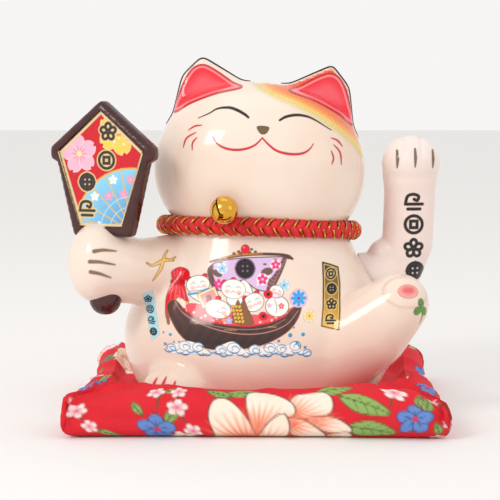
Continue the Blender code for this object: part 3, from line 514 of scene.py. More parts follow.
def arm_form(inset):
    bm = bmesh.new()
    y, z, run = ARM_AXIS.y, ARM_AXIS.z, ARM_RUN_X
    less = Vector((inset, inset, inset))
    root = Vector((12, 12, 14)) * MM - less
    upright = Vector((16, 12.5, 15)) * MM - less
    round_root = Vector((10 * MM, ARM_ROOT_R, ARM_ROOT_R)) - less
    add_limb(
        bm,
        [
            (Vector((SOCKET_X - 6 * MM, y, z)), round_root),
            (Vector((run - 18 * MM, y, z)), round_root),
            (Vector((run - 6 * MM, y, z + 4 * MM)), root.lerp(upright, 0.6)),
            (Vector((run - 1 * MM, y, z + 20 * MM)), upright),
            (Vector((run, y, ARM_TOP_Z - 34 * MM)), upright),
            (Vector((run + 0.5 * MM, y - 1 * MM, ARM_TOP_Z - 17 * MM)), Vector((18.2, 15, 17)) * MM - less),
        ],
        steps=12,
    )
    inner_bend = Vector((run - 15 * MM, y, z + 13 * MM))
    add_lump(bm, inner_bend, Vector((11, 10, 10)) * MM - less, rings=16)
    fine = 1.0 * MM
    return fuse(worker(bm), fine, int(6 * (2 * MM / fine) ** 2), 0.6 if inset else None)


def press_toes(mesh):
    """Soft grooves between the toes and a crease under the paw."""
    crease_z, toes_z, fade = ARM_TOP_Z - 25.5 * MM, ARM_TOP_Z - 20 * MM, 8 * MM
    for vertex in mesh.vertices:
        x, z = vertex.co.x - ARM_RUN_X, vertex.co.z
        if z <= ARM_TOP_Z - 60 * MM or vertex.co.y >= ARM_AXIS.y:
            continue
        depth = 0.45 * math.exp(-(((z - crease_z) / (2.6 * MM)) ** 2))
        if z > toes_z:
            for at in (-5.3 * MM, 6 * MM):
                groove = 0.8 * math.exp(-(((x - at) / (1.1 * MM)) ** 2))
                depth += groove * min(1, (z - toes_z) / fade)
        vertex.co -= vertex.normal * depth * MM


def waving_arm():
    outside, hollow = arm_form(0), arm_form(ARM_SKIN)
    press_toes(outside.data)
    shells = []
    for name, side in (("arm_front", -1), ("arm_back", 1)):
        low, high = sorted((ARM_AXIS.y + side * GAP / 2, ARM_AXIS.y + side * 60 * MM))
        shell = worker(add_box(bmesh.new(), (SOCKET_X + 0.8 * MM, low, 0), (0.2, high, 0.25)))
        for helper, operation in ((outside, "INTERSECT"), (hollow, "DIFFERENCE")):
            made = shell.modifiers.new("cut", "BOOLEAN")
            made.object, made.operation = helper, operation
        settled(shell)
        shells.append(piece(name, as_bmesh(shell), ARM_CREAM, "waving_arm", 50, [name + "_shell"]))
    remove(outside, hollow)
    return shells


arm_front, arm_back = waving_arm()

# ---- plaque and handle ------------------------------------------------------------------------------------------


def plaque_outline(grow):
    half, foot = PLAQUE_W / 2 + grow, PLAQUE_FOOT_W / 2 + grow
    side = [(foot, PLAQUE_FOOT_Z - grow), (half, PLAQUE_SIDE_Z)]
    if grow > -PLAQUE_RIM / 2:  # the roof's eaves stand out past the walls
        side[1:] = [
            (half - 3.5 * MM, PLAQUE_SIDE_Z - 6.5 * MM),
            (half + 0.8 * MM, PLAQUE_SIDE_Z - 4.5 * MM),
            (half + 0.8 * MM, PLAQUE_SIDE_Z + 0.7 * MM),
        ]
    return side + [(0, PLAQUE_TOP_Z + grow)] + [(-x, z) for x, z in reversed(side)]


def plaque_matrix():
    return Matrix.Translation((PLAQUE_X, PLAQUE_Y, 0)) @ Matrix.Rotation(PLAQUE_TURN, 4, "Z")


def slab(outline, front, back):
    bm = bmesh.new()
    face = bm.faces.new([bm.verts.new((x, front, z)) for x, z in outline])
    made = bmesh.ops.extrude_face_region(bm, geom=[face])
    moved = [item for item in made["geom"] if isinstance(item, bmesh.types.BMVert)]
    bmesh.ops.translate(bm, vec=(0, back - front, 0), verts=moved)
    return bm


RECESS_Y = -PLAQUE_THICK / 2 + 1.5 * MM


def plaque():
    board = worker(slab(plaque_outline(-1.2 * MM), -PLAQUE_THICK / 2 + 1.2 * MM, PLAQUE_THICK / 2 - 1.2 * MM))
    fat = board.modifiers.new("round", "REMESH")
    fat.mode, fat.voxel_size = "VOXEL", 1.1 * MM
    settled(board)
    swell = board.modifiers.new("swell", "DISPLACE")
    swell.strength, swell.mid_level = 1.5 * MM, 0
    soften = board.modifiers.new("soften", "SMOOTH")
    soften.factor, soften.iterations = 0.5, 6
    settled(board)
    boolean(board, worker(slab(plaque_outline(-PLAQUE_RIM), -PLAQUE_THICK, RECESS_Y)))
    bm = as_bmesh(board)
    bmesh.ops.transform(bm, matrix=plaque_matrix(), verts=bm.verts)
    piece("plaque", bm, BROWN, "cat", 35, ["plaque_board"])
    bm = bmesh.new()
    at = Vector((PLAQUE_X, PLAQUE_Y, HANDLE_FOOT_Z + 12 * MM))
    add_lump(bm, at, Vector((HANDLE_R, HANDLE_R, 12 * MM)), 2.3, rings=32)
    piece("handle_foot", bm, BROWN, "cat", 60, ["handle_end"])


plaque()

# ---- braided collar ---------------------------------------------------------------------------------------------


def round_the_neck(share, around, radius):
    """A point on the collar: share of the way round, at an angle about the cord, at a radius from its middle."""
    angle = 2 * math.pi * share
    a, b = COLLAR_HALF
    middle_at = Vector((a * math.sin(angle), -b * math.cos(angle), 0))
    out = Vector((b * math.sin(angle), -a * math.cos(angle), 0)).normalized()
    at = middle_at + out * radius * math.cos(around) + Vector((0, 0, radius * math.sin(around)))
    return COLLAR_CENTRE + collar_turn() @ at


def collar():
    """Plump strands that lean back from the cord's front line, above and below, with gold thread laid between."""
    stitches = 48
    strands, threads = bmesh.new(), bmesh.new()
    for k in range(stitches):
        for side in (-1, 1):
            points, radii, gold = [], [], []
            for step in range(9):
                t = step / 8
                around = side * (math.radians(-14) + t * math.radians(128))
                back = (0.42 + 1.5 * t - 0.25 * math.sin(math.pi * t)) / stitches
                shift = (k + (0.5 if side > 0 else 0.0)) / stitches
                points.append(round_the_neck(shift + back, around, CORD_R - 2.7 * MM))
                radii.append((2.0 + 1.0 * math.sin(math.pi * min(1, t * 1.25 + 0.1))) * MM)
                if 0.02 < t < 0.8:
                    gold.append(round_the_neck(shift + back + 0.5 / stitches, around, CORD_R - 0.35 * MM))
            add_tube(strands, points, radii, 8)
            add_tube(threads, gold, [0.4 * MM] + [0.6 * MM] * (len(gold) - 2) + [0.3 * MM], 5)
    core = bmesh.new()
    for bm, name, finish in ((strands, "collar_braid", CORD_RED), (threads, "collar_gold_thread", GOLD_THREAD)):
        piece(name, bm, finish, "cat", None, ["collar_cord"] if name == "collar_braid" else ())
    count = 120
    add_tube(core, [round_the_neck(k / count, 0, 0) for k in range(count)], CORD_R - 2.4 * MM, 10, closed=True)
    piece("collar_core", core, CORD_RED, "cat")


collar()

# ---- jingle bell ------------------------------------------------------------------------------------------------


def bell():
    pea = middle("bell_pea") - CAT
    hinge = middle("bell_tie") - CAT
    direction = (pea - hinge).normalized()
    spin = direction.to_track_quat("Z", "Y").to_matrix().to_4x4()
    place = Matrix.Translation(pea) @ spin
    for name, sign, node in (("bell_top", -1, "bell_top_shell"), ("bell_slotted", 1, "bell_slotted_shell")):
        bm = bmesh.new()
        bmesh.ops.create_uvsphere(bm, u_segments=64, v_segments=40, radius=BELL_R)
        bmesh.ops.bisect_plane(
            bm, geom=bm.verts[:] + bm.edges[:] + bm.faces[:], plane_co=(0, 0, sign * 0.12 * MM),
            plane_no=(0, 0, -sign), clear_outer=True,
        )
        shell = worker(bm)
        first = shell.data.polygons[0]
        if first.normal.dot(first.center) < 0:
            shell.data.flip_normals()
        skin = shell.modifiers.new("skin", "SOLIDIFY")
        skin.thickness, skin.offset = 0.6 * MM, -1
        settled(shell)
        if sign > 0:
            lean = Matrix.Rotation(math.radians(-20), 4, "Y") @ Matrix.Rotation(math.radians(14), 4, "Z")
            slot = add_box(bmesh.new(), (-0.5 * MM, -BELL_R * 0.86, 0), (0.5 * MM, BELL_R * 0.86, BELL_R * 2))
            bmesh.ops.transform(slot, matrix=lean, verts=slot.verts)
            boolean(shell, worker(slot))
            for end in (-1, 1):
                out = lean @ Vector((0, end * BELL_R * 0.86, BELL_R * 0.5))
                boolean(shell, worker(rod((0, 0, 0), out * 2, 1.5 * MM, 32)))
        bm = as_bmesh(shell)
        if sign < 0:
            bmesh.ops.create_cone(
                bm, cap_ends=True, segments=24, radius1=1.7 * MM, radius2=1.5 * MM, depth=1.4 * MM,
                matrix=Matrix.Translation((0, 0, -BELL_R - 0.6 * MM)),
            )
        bmesh.ops.transform(bm, matrix=place, verts=bm.verts)
        piece(name, bm, BELL_GOLD, "bell", 40, [node])


bell()

# ---- paint ------------------------------------------------------------------------------------------------------
INK, WHITE, RED = rgb("1d1618"), rgb("fbf6f0"), rgb("e01c2c")
GOLD_INK, PALE_GOLD = rgb("d9a441"), rgb("f6dc8a")


class Canvas:
    """Colour laid, shape on shape, on scattered points given in millimetres. Every shape is a signed distance."""

    def __init__(self, x, z, soft, ground=None):
        self.x, self.z, self.soft = x, z, soft
        self.rgb = np.zeros((len(x), 3)) if ground is None else np.tile(np.array(ground, float), (len(x), 1))
        self.a = np.zeros(len(x)) if ground is None else np.ones(len(x))

    def lay(self, distance, colour, strength=1.0, soft=None):
        cover = np.clip(0.5 - distance / (soft or self.soft), 0, 1) * strength
        whole = cover + self.a * (1 - cover)
        colour = np.asarray(colour, float)
        if colour.ndim == 1:
            colour = colour[None, :]
        share = np.divide(cover, whole, out=np.zeros_like(cover), where=whole > 1e-6)[:, None]
        self.rgb = colour * share + self.rgb * (1 - share)
        self.a = whole

    def oval(self, x, z, rx, rz, turn=0.0):
        t = math.radians(turn)
        dx, dz = self.x - x, self.z - z
        u, v = dx * math.cos(t) + dz * math.sin(t), -dx * math.sin(t) + dz * math.cos(t)
        length = np.hypot(u / rx, v / rz)
        slope = np.hypot(u / rx**2, v / rz**2) + 1e-9
        return length * (length - 1) / slope

    def area(self, points):
        """Signed distance to a closed outline."""
        p = np.asarray(points, float)
        far = np.full(len(self.x), 1e9)
        inside = np.zeros(len(self.x), bool)
        keep = (self.x > p[:, 0].min() - 4) & (self.x < p[:, 0].max() + 4)
        keep &= (self.z > p[:, 1].min() - 4) & (self.z < p[:, 1].max() + 4)
        x, z = self.x[keep], self.z[keep]
        best, odd = np.full(len(x), 1e9), np.zeros(len(x), bool)
        for (ax, az), (bx, bz) in zip(p, np.roll(p, -1, 0)):
            ex, ez = bx - ax, bz - az
            t = np.clip(((x - ax) * ex + (z - az) * ez) / (ex * ex + ez * ez + 1e-12), 0, 1)
            best = np.minimum(best, np.hypot(x - ax - t * ex, z - az - t * ez))
            crosses = (az > z) != (bz > z)
            odd ^= crosses & (x < ax + (z - az) * ex / (ez if abs(ez) > 1e-12 else 1e-12))
        far[keep], inside[keep] = best, odd
        return np.where(inside, -far, far)

    def line(self, points, widths):
        """Signed distance to a brush stroke whose width changes along it."""
        p = np.asarray(points, float)
        w = np.interp(np.linspace(0, 1, len(p)), np.linspace(0, 1, len(np.atleast_1d(widths))), np.atleast_1d(widths))
        far = np.full(len(self.x), 1e9)
        keep = (self.x > p[:, 0].min() - 4) & (self.x < p[:, 0].max() + 4)
        keep &= (self.z > p[:, 1].min() - 4) & (self.z < p[:, 1].max() + 4)
        x, z = self.x[keep], self.z[keep]
        best = np.full(len(x), 1e9)
        for (ax, az), (bx, bz), wa, wb in zip(p, p[1:], w, w[1:]):
            ex, ez = bx - ax, bz - az
            t = np.clip(((x - ax) * ex + (z - az) * ez) / (ex * ex + ez * ez + 1e-12), 0, 1)
            best = np.minimum(best, np.hypot(x - ax - t * ex, z - az - t * ez) - (wa + (wb - wa) * t) / 2)
        far[keep] = best
        return far

    def stroke(self, points, widths, colour, strength=1.0):
        self.lay(self.line(spline(points, 6), widths), colour, strength)

    def shape(self, points, colour, edge=None, width=0.5, smooth=True):
        """A filled outline with an optional drawn edge. Returns its distance."""
        distance = self.area(spline(points, 6, True) if smooth else points)
        self.lay(distance, colour)
        if edge is not None:
            self.lay(abs(distance) - width / 2, edge)
        return distance

    def blossom(self, x, z, size, colour, heart, petals=5, edge=None, turn=90.0, fat=0.34, notch=False):
        """A round flower seen from the front."""
        for k in range(petals):
            angle = math.radians(turn) + 2 * math.pi * k / petals
            cx, cz = x + math.cos(angle) * size * 0.58, z + math.sin(angle) * size * 0.58
            petal = self.oval(cx, cz, size * 0.42, size * fat, math.degrees(angle))
            if notch:
                tip = self.oval(x + math.cos(angle) * size * 1.04, z + math.sin(angle) * size * 1.04, size * 0.15,
                    size * 0.11, math.degrees(angle))
                petal = np.maximum(petal, -tip)
            if edge is not None:
                self.lay(petal - 0.25, edge)
            self.lay(petal, colour)
        self.lay(self.oval(x, z, size * 0.17, size * 0.17), heart)

    def motif(self, kind, x, z, size, colour, halo=None, weight=0.13):
        """One of four plain ornaments, drawn in strokes of one weight."""
        w = size * weight
        if kind == 0:  # a coin with a square hole
            r = abs(self.oval(x, z, size * 0.42, size * 0.42)) - w / 2
            s = size * 0.16
            square = abs(np.maximum(abs(self.x - x), abs(self.z - z)) - s) - w / 2
            d = np.minimum(r, square)
        elif kind == 1:  # a woven knot
            d = np.full(len(self.x), 1e9)
            for k in (-1, 0, 1):
                a, b = size * 0.24 * k, size * (0.42 - 0.12 * abs(k))
                d = np.minimum(d, self.line([(x - b, z + a), (x + b, z + a)], w))
                d = np.minimum(d, self.line([(x + a, z - b), (x + a, z + b)], w))
            d = np.minimum(d, abs(self.oval(x, z, size * 0.4, size * 0.4)) - w / 2)
        elif kind == 2:  # a five-petalled flower
            d = np.full(len(self.x), 1e9)
            for k in range(5):
                angle = math.pi / 2 + 2 * math.pi * k / 5
                petal = self.oval(x + math.cos(angle) * size * 0.26, z + math.sin(angle) * size * 0.26, size * 0.18,
                    size * 0.15, math.degrees(angle))
                d = np.minimum(d, abs(petal) - w / 2)
        else:  # a curled cloud over two bars
            curl = [(x - size * 0.4, z), (x - size * 0.3, z + size * 0.28), (x - size * 0.02, z + size * 0.36),
                (x + size * 0.22, z + size * 0.26), (x + size * 0.16, z + size * 0.06), (x, z + size * 0.12)]
            d = self.line(spline(curl, 5), w)
            for k, b in ((-0.12, 0.42), (-0.36, 0.3)):
                d = np.minimum(d, self.line([(x - size * b, z + size * k), (x + size * b, z + size * k)], w))
        if halo is not None:
            self.lay(d - size * 0.06, halo)
        self.lay(d, colour)


def store_paint(mesh, canvas):
    layer = mesh.color_attributes.new("paint", "FLOAT_COLOR", "POINT")
    layer.data.foreach_set("color", np.column_stack([canvas.rgb, canvas.a]).astype(np.float32).ravel())


def film(name, on, body, draw, low, high, step, lift, origin=(0, 0, 0), right=(1, 0, 0), up=(0, 0, 1),
    stand_off=0.12, deepest=0.4):
    """Print laid on a piece: a fine grid is dropped onto it and keeps only what is painted."""
    right, up = Vector(right).normalized(), Vector(up).normalized()
    into = up.cross(right).normalized()
    tree = BVHTree.FromObject(on, bpy.context.evaluated_depsgraph_get()) if not isinstance(on, BVHTree) else on
    xs = np.arange(low[0], high[0] + step, step)
    zs = np.arange(low[1], high[1] + step, step)
    gx, gz = (g.ravel() for g in np.meshgrid(xs, zs, indexing="ij"))
    canvas = Canvas(gx, gz, step * 1.1)
    draw(canvas)
    grid_a = canvas.a.reshape(len(xs), len(zs))
    wanted = np.zeros_like(grid_a, bool)
    used = grid_a > 0.004
    cell = used[:-1, :-1] | used[1:, :-1] | used[:-1, 1:] | used[1:, 1:]
    for i, j in ((0, 0), (1, 0), (0, 1), (1, 1)):
        wanted[i : len(xs) - 1 + i, j : len(zs) - 1 + j] |= cell
    places, number = [], -np.ones(grid_a.shape, int)
    origin = Vector(origin) + CAT
    for i, j in zip(*np.nonzero(wanted)):
        start = origin + right * xs[i] * MM + up * zs[j] * MM - into * stand_off
        at, normal, _, _ = tree.ray_cast(start, into, deepest)
        if at is None or normal.dot(into) > -0.12:
            continue
        number[i, j] = len(places)
        places.append((at + normal * lift * MM, i, j))
    faces = []
    for i, j in zip(*np.nonzero(cell)):
        corners = (number[i, j], number[i + 1, j], number[i + 1, j + 1], number[i, j + 1])
        if min(corners) < 0:
            continue
        spread = [places[c][0] for c in corners]
        if max((a - b).length for a in spread for b in spread) < step * 8 * MM:
            faces.append(corners)
    mesh = bpy.data.meshes.new(name)
    mesh.from_pydata([tuple(p[0]) for p in places], [], faces)
    take = np.array([p[1] * len(zs) + p[2] for p in places])
    canvas.rgb, canvas.a = canvas.rgb[take], canvas.a[take]
    store_paint(mesh, canvas)
    mesh.shade_smooth()
    obj = bpy.data.objects.new(name, mesh)
    bpy.context.scene.collection.objects.link(obj)
    mesh.materials.append(FILM)
    return declare(obj, body)


def draw_face(c):
    eye_l = [(-36.1, 180.5), (-29.7, 183.3), (-24.6, 186.1), (-17.7, 186.7), (-12.5, 185), (-8.3, 182.6), (-6.4, 181)]
    eye_r = [(12, 179.4), (15.8, 181.4), (21.8, 182.4), (27.9, 181.6), (33, 179.4), (38.2, 176.2), (42.8, 173.3)]
    c.stroke(eye_l, [0.35, 0.6, 0.9, 1.5, 1.6, 1.5, 1.1], INK)
    c.stroke(eye_r, [1.1, 1.5, 1.5, 1.2, 0.8, 0.55, 0.35], INK)
    mouth_l = [(-27.4, 169.8), (-24.6, 165.6), (-19.5, 163), (-13.4, 162.2), (-7.4, 163), (-2.2, 165.3), (1.7, 169.2)]
    mouth_r = [(1.7, 169.2), (5.5, 165.2), (9.8, 161.9), (15, 160.2), (21, 159.6), (26.2, 160.4), (29.6, 162.6),
        (31.9, 165.6)]
    c.stroke(mouth_l, [0.4, 0.8, 1.2, 1.35, 1.2, 1.0, 0.7], rgb("d81f3a"))
    c.stroke(mouth_r, [0.7, 1.0, 1.2, 1.35, 1.35, 1.2, 0.8, 0.4], rgb("d81f3a"))
    nose = [(-1.3, 175.5), (2.1, 175.9), (5.5, 175.1), (4.4, 172.4), (2.2, 171.4), (0.2, 172.4)]
    c.shape(nose, rgb("6f5a3c"), rgb("4c3a26"), 0.35)
    for points in (
        [(-42, 173.3), (-38.3, 175.7), (-33.9, 176.4)],
        [(-45, 163.2), (-43.1, 168.6), (-37.3, 172.2)],
        [(-39.6, 161.7), (-39.4, 166), (-36.8, 169.2)],
        [(42.5, 168.8), (46.3, 167.3), (49.5, 163.6)],
        [(44, 164.9), (48, 160), (48.7, 152.9)],
        [(42.5, 161.3), (43.9, 157), (42.9, 153.3)],
    ):
        c.stroke(points, [0.35, 0.8, 0.9, 0.35], rgb("d81f3a"))


def draw_patch(c):
    """The marmalade patch that runs under one ear, orange at its heart with a soft yellow border."""
    edge = spline([(-6, 203), (6, 194.5), (22, 187.5), (36, 180), (48, 171.5), (56, 164.5), (62, 157)], 8)
    far = c.line(edge, 0.02)
    above = c.z - np.interp(c.x, edge[:, 0], edge[:, 1])
    depth = np.where(above > 0, far, -far)
    grain = 0.8 * np.sin(c.x * 1.9 + c.z * 2.3) * np.sin(c.x * 0.7 - c.z * 1.1)
    c.lay(-depth + 0.0, rgb("f1e58c"), 0.9, 3.5)
    c.lay(-depth + 2.2 + grain * 0.4, rgb("f7ab52"), 0.9, 3.5)
    c.lay(-depth + 4.0 + grain, rgb("f07a34"), 0.95, 4.0)
    c.lay(-depth + 6.8 + grain, rgb("e2502a"), 0.9, 5.0)


def draw_ear(c, side):
    """Red glaze pooled in the ear: pink where it is thin near the rim, and a painted highlight, a soft lighter pink
    patch in its middle, standing in for light caught in the ear's hollow.
    """
    turn = head_matrix()

    def in_head(x, z):
        at = turn @ Vector((x * side * MM, 0, z * MM))
        return at.x / MM, at.z / MM

    outline = [in_head(*p) for p in ((54.6, 29), (51.2, 43), (46.2, 54.4), (39.8, 58.6), (32.2, 56.4), (20.5, 49.6),
        (14.5, 46.6), (29, 42), (43.5, 35.5))]
    d = c.shape(outline, rgb("e92a3a"))
    highlight_outline = [in_head(*p) for p in ((47.5, 41), (43.5, 49), (38, 52.5), (32, 50.4), (26, 46.7), (35, 43.5))]
    # painted highlight: a soft lighter pink patch in the middle of the ear, where the hollow would catch the light
    c.lay(c.area(spline(highlight_outline, 6, True)), rgb("f2707a"), 0.55, 5.0)
    c.lay(abs(d + 1.3) - 0.35, rgb("f9b4b4"), 0.8, 0.9)
    c.lay(abs(d) - 0.4, rgb("c2182a"))


def little_cat(c, x, z, rx, rz, turn, ears):
    """A round white kitten's head with closed eyes."""
    brown = rgb("7d4a3c")
    for ex, ez in ears:
        c.lay(c.oval(ex, ez, 1.5, 1.2, turn + 20) - 0.3, brown)
        c.lay(c.oval(ex, ez, 1.5, 1.2, turn + 20), RED)
    head = c.oval(x, z, rx, rz, turn)
    c.lay(head - 0.3, brown)
    c.lay(head, WHITE)
    t = math.radians(turn)

    def at(u, v):
        return x + u * math.cos(t) - v * math.sin(t), z + u * math.sin(t) + v * math.cos(t)

    for side in (-1, 1):
        c.lay(c.oval(*at(side * rx * 0.52, -rz * 0.3), 1.3, 1.0), rgb("f7a9a4"), 0.8, 1.6)
        c.stroke([at(side * rx * 0.66, rz * 0.12), at(side * rx * 0.4, rz * 0.3), at(side * rx * 0.2, rz * 0.14)],
            [0.2, 0.4, 0.2], INK, 0.8)
        c.stroke([at(0, -rz * 0.16), at(side * rx * 0.12, -rz * 0.36), at(side * rx * 0.32, -rz * 0.26)],
            [0.3, 0.3, 0.2], RED, 0.9)


def draw_boat(c):
    brown, lilac, pink, sky = rgb("5d3a34"), rgb("dcbfe6"), rgb("ee2f8d"), rgb("9fd8f2")
    sail = [(-29, 93), (-23.2, 95.8), (-10, 97.9), (14.5, 98.6), (15.9, 96.9), (11.3, 86.2), (6.4, 79.7),
        (-1.8, 80.5), (-10, 85.5), (-18, 80.5), (-26.5, 80), (-30.4, 88.6)]
    sheet = c.shape(sail, lilac, brown, 0.5)
    inside = sheet + 0.2
    for band, width in (([(-28.6, 94), (-29, 87.5), (-26.4, 80.4)], [3, 3.6, 4.5]), ([(15.2, 97.5), (12.4, 90.2),
        (8.6, 84.2), (6.6, 80.2)], [3, 4.6, 5.6, 5])):
        c.lay(np.maximum(c.line(spline(band, 6), width), inside), rgb("6b4640"))
    for x, z, rx, rz, t in ((-25, 89, 3.2, 1.8, -25), (4.5, 90.3, 3.6, 2.2, 15), (7.5, 84.2, 3.0, 2.6, 30),
        (-22.6, 95, 1.2, 0.6, 0), (3.3, 94.5, 1.1, 0.6, 0), (9.5, 97.2, 1.2, 0.5, 0)):
        c.lay(np.maximum(c.oval(x, z, rx, rz, t), inside), rgb("75504c"))
    for k in range(9):
        t = k / 8
        x, z = 14.6 - 8 * t, 96.6 - 15 * t
        c.stroke([(x - 1.6, z + 0.8), (x, z - 0.3), (x + 1.4, z + 0.9)], 0.22, rgb("c99aa6"))
    for turn in (28, 36):
        c.lay(np.maximum(c.oval(6 - turn / 9, 88.2 - turn / 12, 4.6, 0.7, turn), inside), WHITE, 0.8)
    yard = [(-29, 95.5), (-20, 97.9), (-10, 99.7), (4, 100.3), (15.5, 99.5), (19.6, 97.4)]
    c.stroke(yard, [1.1, 1.5, 1.6, 1.5, 1.5, 1.3], brown)
    c.stroke([(-24, 97.2), (-14, 99.5), (-8, 100.2), (2, 100.4)], [0.5, 1.1, 1.1, 0.4], rgb("c98a3a"))
    c.stroke([(15, 99.6), (17.5, 98.4), (19.6, 97.6)], [1.4, 2.2, 0.6], brown)
    for x, z, r in ((-15, 100.4, 1.0), (-12.2, 101.6, 1.0), (-4.6, 103, 0.9), (-2.3, 101.6, 0.9), (-11, 100.6, 1.2),
        (-6, 101.2, 1.2)):
        c.lay(c.oval(x, z, r, r * 0.8), rgb("8a5a44"))
    c.lay(c.oval(-8.3, 103.1, 2.6, 2.7), RED)
    c.lay(c.oval(-9.1, 104.1, 0.7, 0.5), rgb("ff9aa0"), 0.7, 0.8)
    c.motif(1, -8.4, 92, 11.5, INK, rgb("8c6a8a"), 0.15)
    for x, z, r, colour, heart in ((-22, 91.9, 2.9, sky, INK), (9.7, 94.1, 2.9, pink, PALE_GOLD), (1.9, 85.9, 3.2,
        pink, PALE_GOLD), (14.6, 82.5, 3.0, sky, INK)):
        c.lay(c.oval(x, z, r * 1.1, r * 1.05), WHITE, 0.9)
        c.blossom(x, z, r, colour, heart)
    # the knotted red cloth at the prow
    c.shape([(-52, 89.5), (-47.5, 91.5), (-42.5, 90), (-41.7, 86.5), (-44.5, 84), (-51, 83.6), (-52.3, 86.5)], RED,
        rgb("a05560"), 0.3)
    c.shape([(-52, 82), (-45.3, 82.4), (-43, 76), (-42, 72), (-48, 74.5), (-53.6, 68), (-55.3, 62.5), (-55.9, 70),
        (-54.8, 76.5)], RED, rgb("a05560"), 0.3)
    c.shape([(-52.6, 84.2), (-48, 85.2), (-44.6, 84.6), (-45, 81.4), (-51.8, 81.2)], rgb("d21526"), rgb("a05560"), 0.3)
    for x, spread in ((-50.8, -2.2), (-49.2, -0.9), (-47.6, 0.6), (-46.2, 2.0)):
        c.stroke([(x, 80.8), (x + spread * 0.7, 77), (x + spread, 73)], [0.2, 0.35, 0.15], rgb("f58a8c"))
        c.stroke([(x + 0.3, 86.2), (x + 0.6 + spread * 0.4, 89.5)], [0.2, 0.3], rgb("f58a8c"))
    c.shape([(-55.5, 66), (-54, 65.6), (-53, 59.6), (-54.6, 59.2)], rgb("9a5f3c"))
    # red cloth that the kittens sit on
    rug = c.shape([(-43.5, 70), (-36, 71.5), (-20, 68), (0, 66), (14, 68), (20, 70), (18, 64), (6, 58), (-15, 57),
        (-36, 61)], rgb("ee5560"))
    for k in range(26):
        x, z = -41 + 2.3 * k, 65.2 + 2.2 * math.sin(k * 2.1) - 4.4 * math.sin(math.pi * k / 26)
        c.lay(np.maximum(c.oval(x, z, 0.8, 0.8), rug), rgb("fbd0cf"), 0.9)
    # kittens, from the back to the front
    little_cat(c, -36.3, 82.3, 6.9, 4.9, 12, ((-41.6, 84.9), (-32.4, 87.2)))
    c.shape([(-42, 77.5), (-38, 74), (-31, 72), (-30, 79), (-36, 79)], WHITE, rgb("7d4a3c"), 0.35)
    c.stroke([(-41.7, 76.6), (-36.5, 77.7), (-30.6, 80.1)], 1.3, rgb("3d9fd6"))
    c.lay(c.oval(-35.2, 77.5, 1.1, 1.1), rgb("efb93c"))
    c.blossom(-24, 83, 3.0, pink, PALE_GOLD)
    arm = c.oval(-7.6, 81.0, 2.4, 4.9, 32)
    c.lay(arm - 0.35, rgb("7d4a3c"))
    c.lay(arm, WHITE)
    c.lay(c.oval(-11, 74.6, 8, 4.5) - 0.3, rgb("7d4a3c"))
    c.lay(c.oval(-11, 74.6, 8, 4.5), WHITE)
    little_cat(c, -15.3, 80.4, 7.0, 5.3, -4, ((-20.6, 84.2), (-15.4, 85.6)))
    t, dx, dz = math.radians(26), c.x + 29.8, c.z - 75.4  # a framed card, leaning
    u, v = dx * math.cos(t) + dz * math.sin(t), -dx * math.sin(t) + dz * math.cos(t)
    for a, b, colour in ((5.9, 4.4, rgb("7d5a34")), (5.6, 4.1, rgb("f3e3c0")), (4.5, 3.1, rgb("d9a441")),
        (4.1, 2.7, rgb("f29a98")), (1.6, 1.3, rgb("8d7f8c"))):
        c.lay(np.maximum(abs(u) - a, abs(v) - b), colour)
    belly = c.oval(10.4, 70.8, 6.6, 5.6)
    c.lay(belly - 0.35, rgb("7d4a3c"))
    c.lay(belly, WHITE)
    c.stroke([(8.8, 74.8), (10.2, 71), (9.6, 67)], [0.3, 0.4, 0.3], rgb("7d4a3c"))
    little_cat(c, 10.1, 79, 4.0, 3.4, -18, ((5.2, 78.2),))
    c.stroke([(7.2, 76), (10.3, 75.6), (13, 76.2)], 0.8, rgb("c79bd6"))
    c.blossom(12.9, 70.9, 1.9, rgb("f0506a"), PALE_GOLD)
    c.blossom(5.8, 71.2, 1.4, rgb("f7a8bd"), PALE_GOLD)
    little_cat(c, -24.2, 69, 7.4, 5.0, -12, ((-29.8, 73.6), (-24.2, 75.0)))
    little_cat(c, -3.2, 73.1, 5.8, 4.9, 22, ((-8.6, 75.4), (-1.6, 78.4)))
    for x, z in ((5.2, 77.6), (2.3, 65.3)):
        c.lay(c.oval(x, z, 2.8, 2.4, -20), RED)
        c.lay(c.oval(x, z, 1.1, 1.0), INK)
    c.shape([(-13, 74), (-11, 72), (-9, 74.5), (-6.5, 69), (-3.5, 61), (-12, 60.6), (-16, 63)], rgb("8a5a3c"),
        rgb("5b3520"), 0.3)
    for k in range(15):
        x, z = -15.6 + 2.0 * (k % 3) + 0.5 * (k // 3), 70.6 - 2.1 * (k // 3)
        c.lay(c.oval(x, z, 1.3, 0.95, 30 * (k % 4)), rgb("7a4c16"))
        c.lay(c.oval(x, z, 1.0, 0.68, 30 * (k % 4)), rgb("eab94a"))
    for x, z in ((-42.6, 71.8), (-12, 77.6), (-21, 62.9), (-19.6, 65.2)):
        c.lay(c.oval(x, z, 0.9, 0.7), rgb("e6b04a"))
    c.blossom(-17.8, 62.6, 2.2, rgb("a9b8f2"), PALE_GOLD)
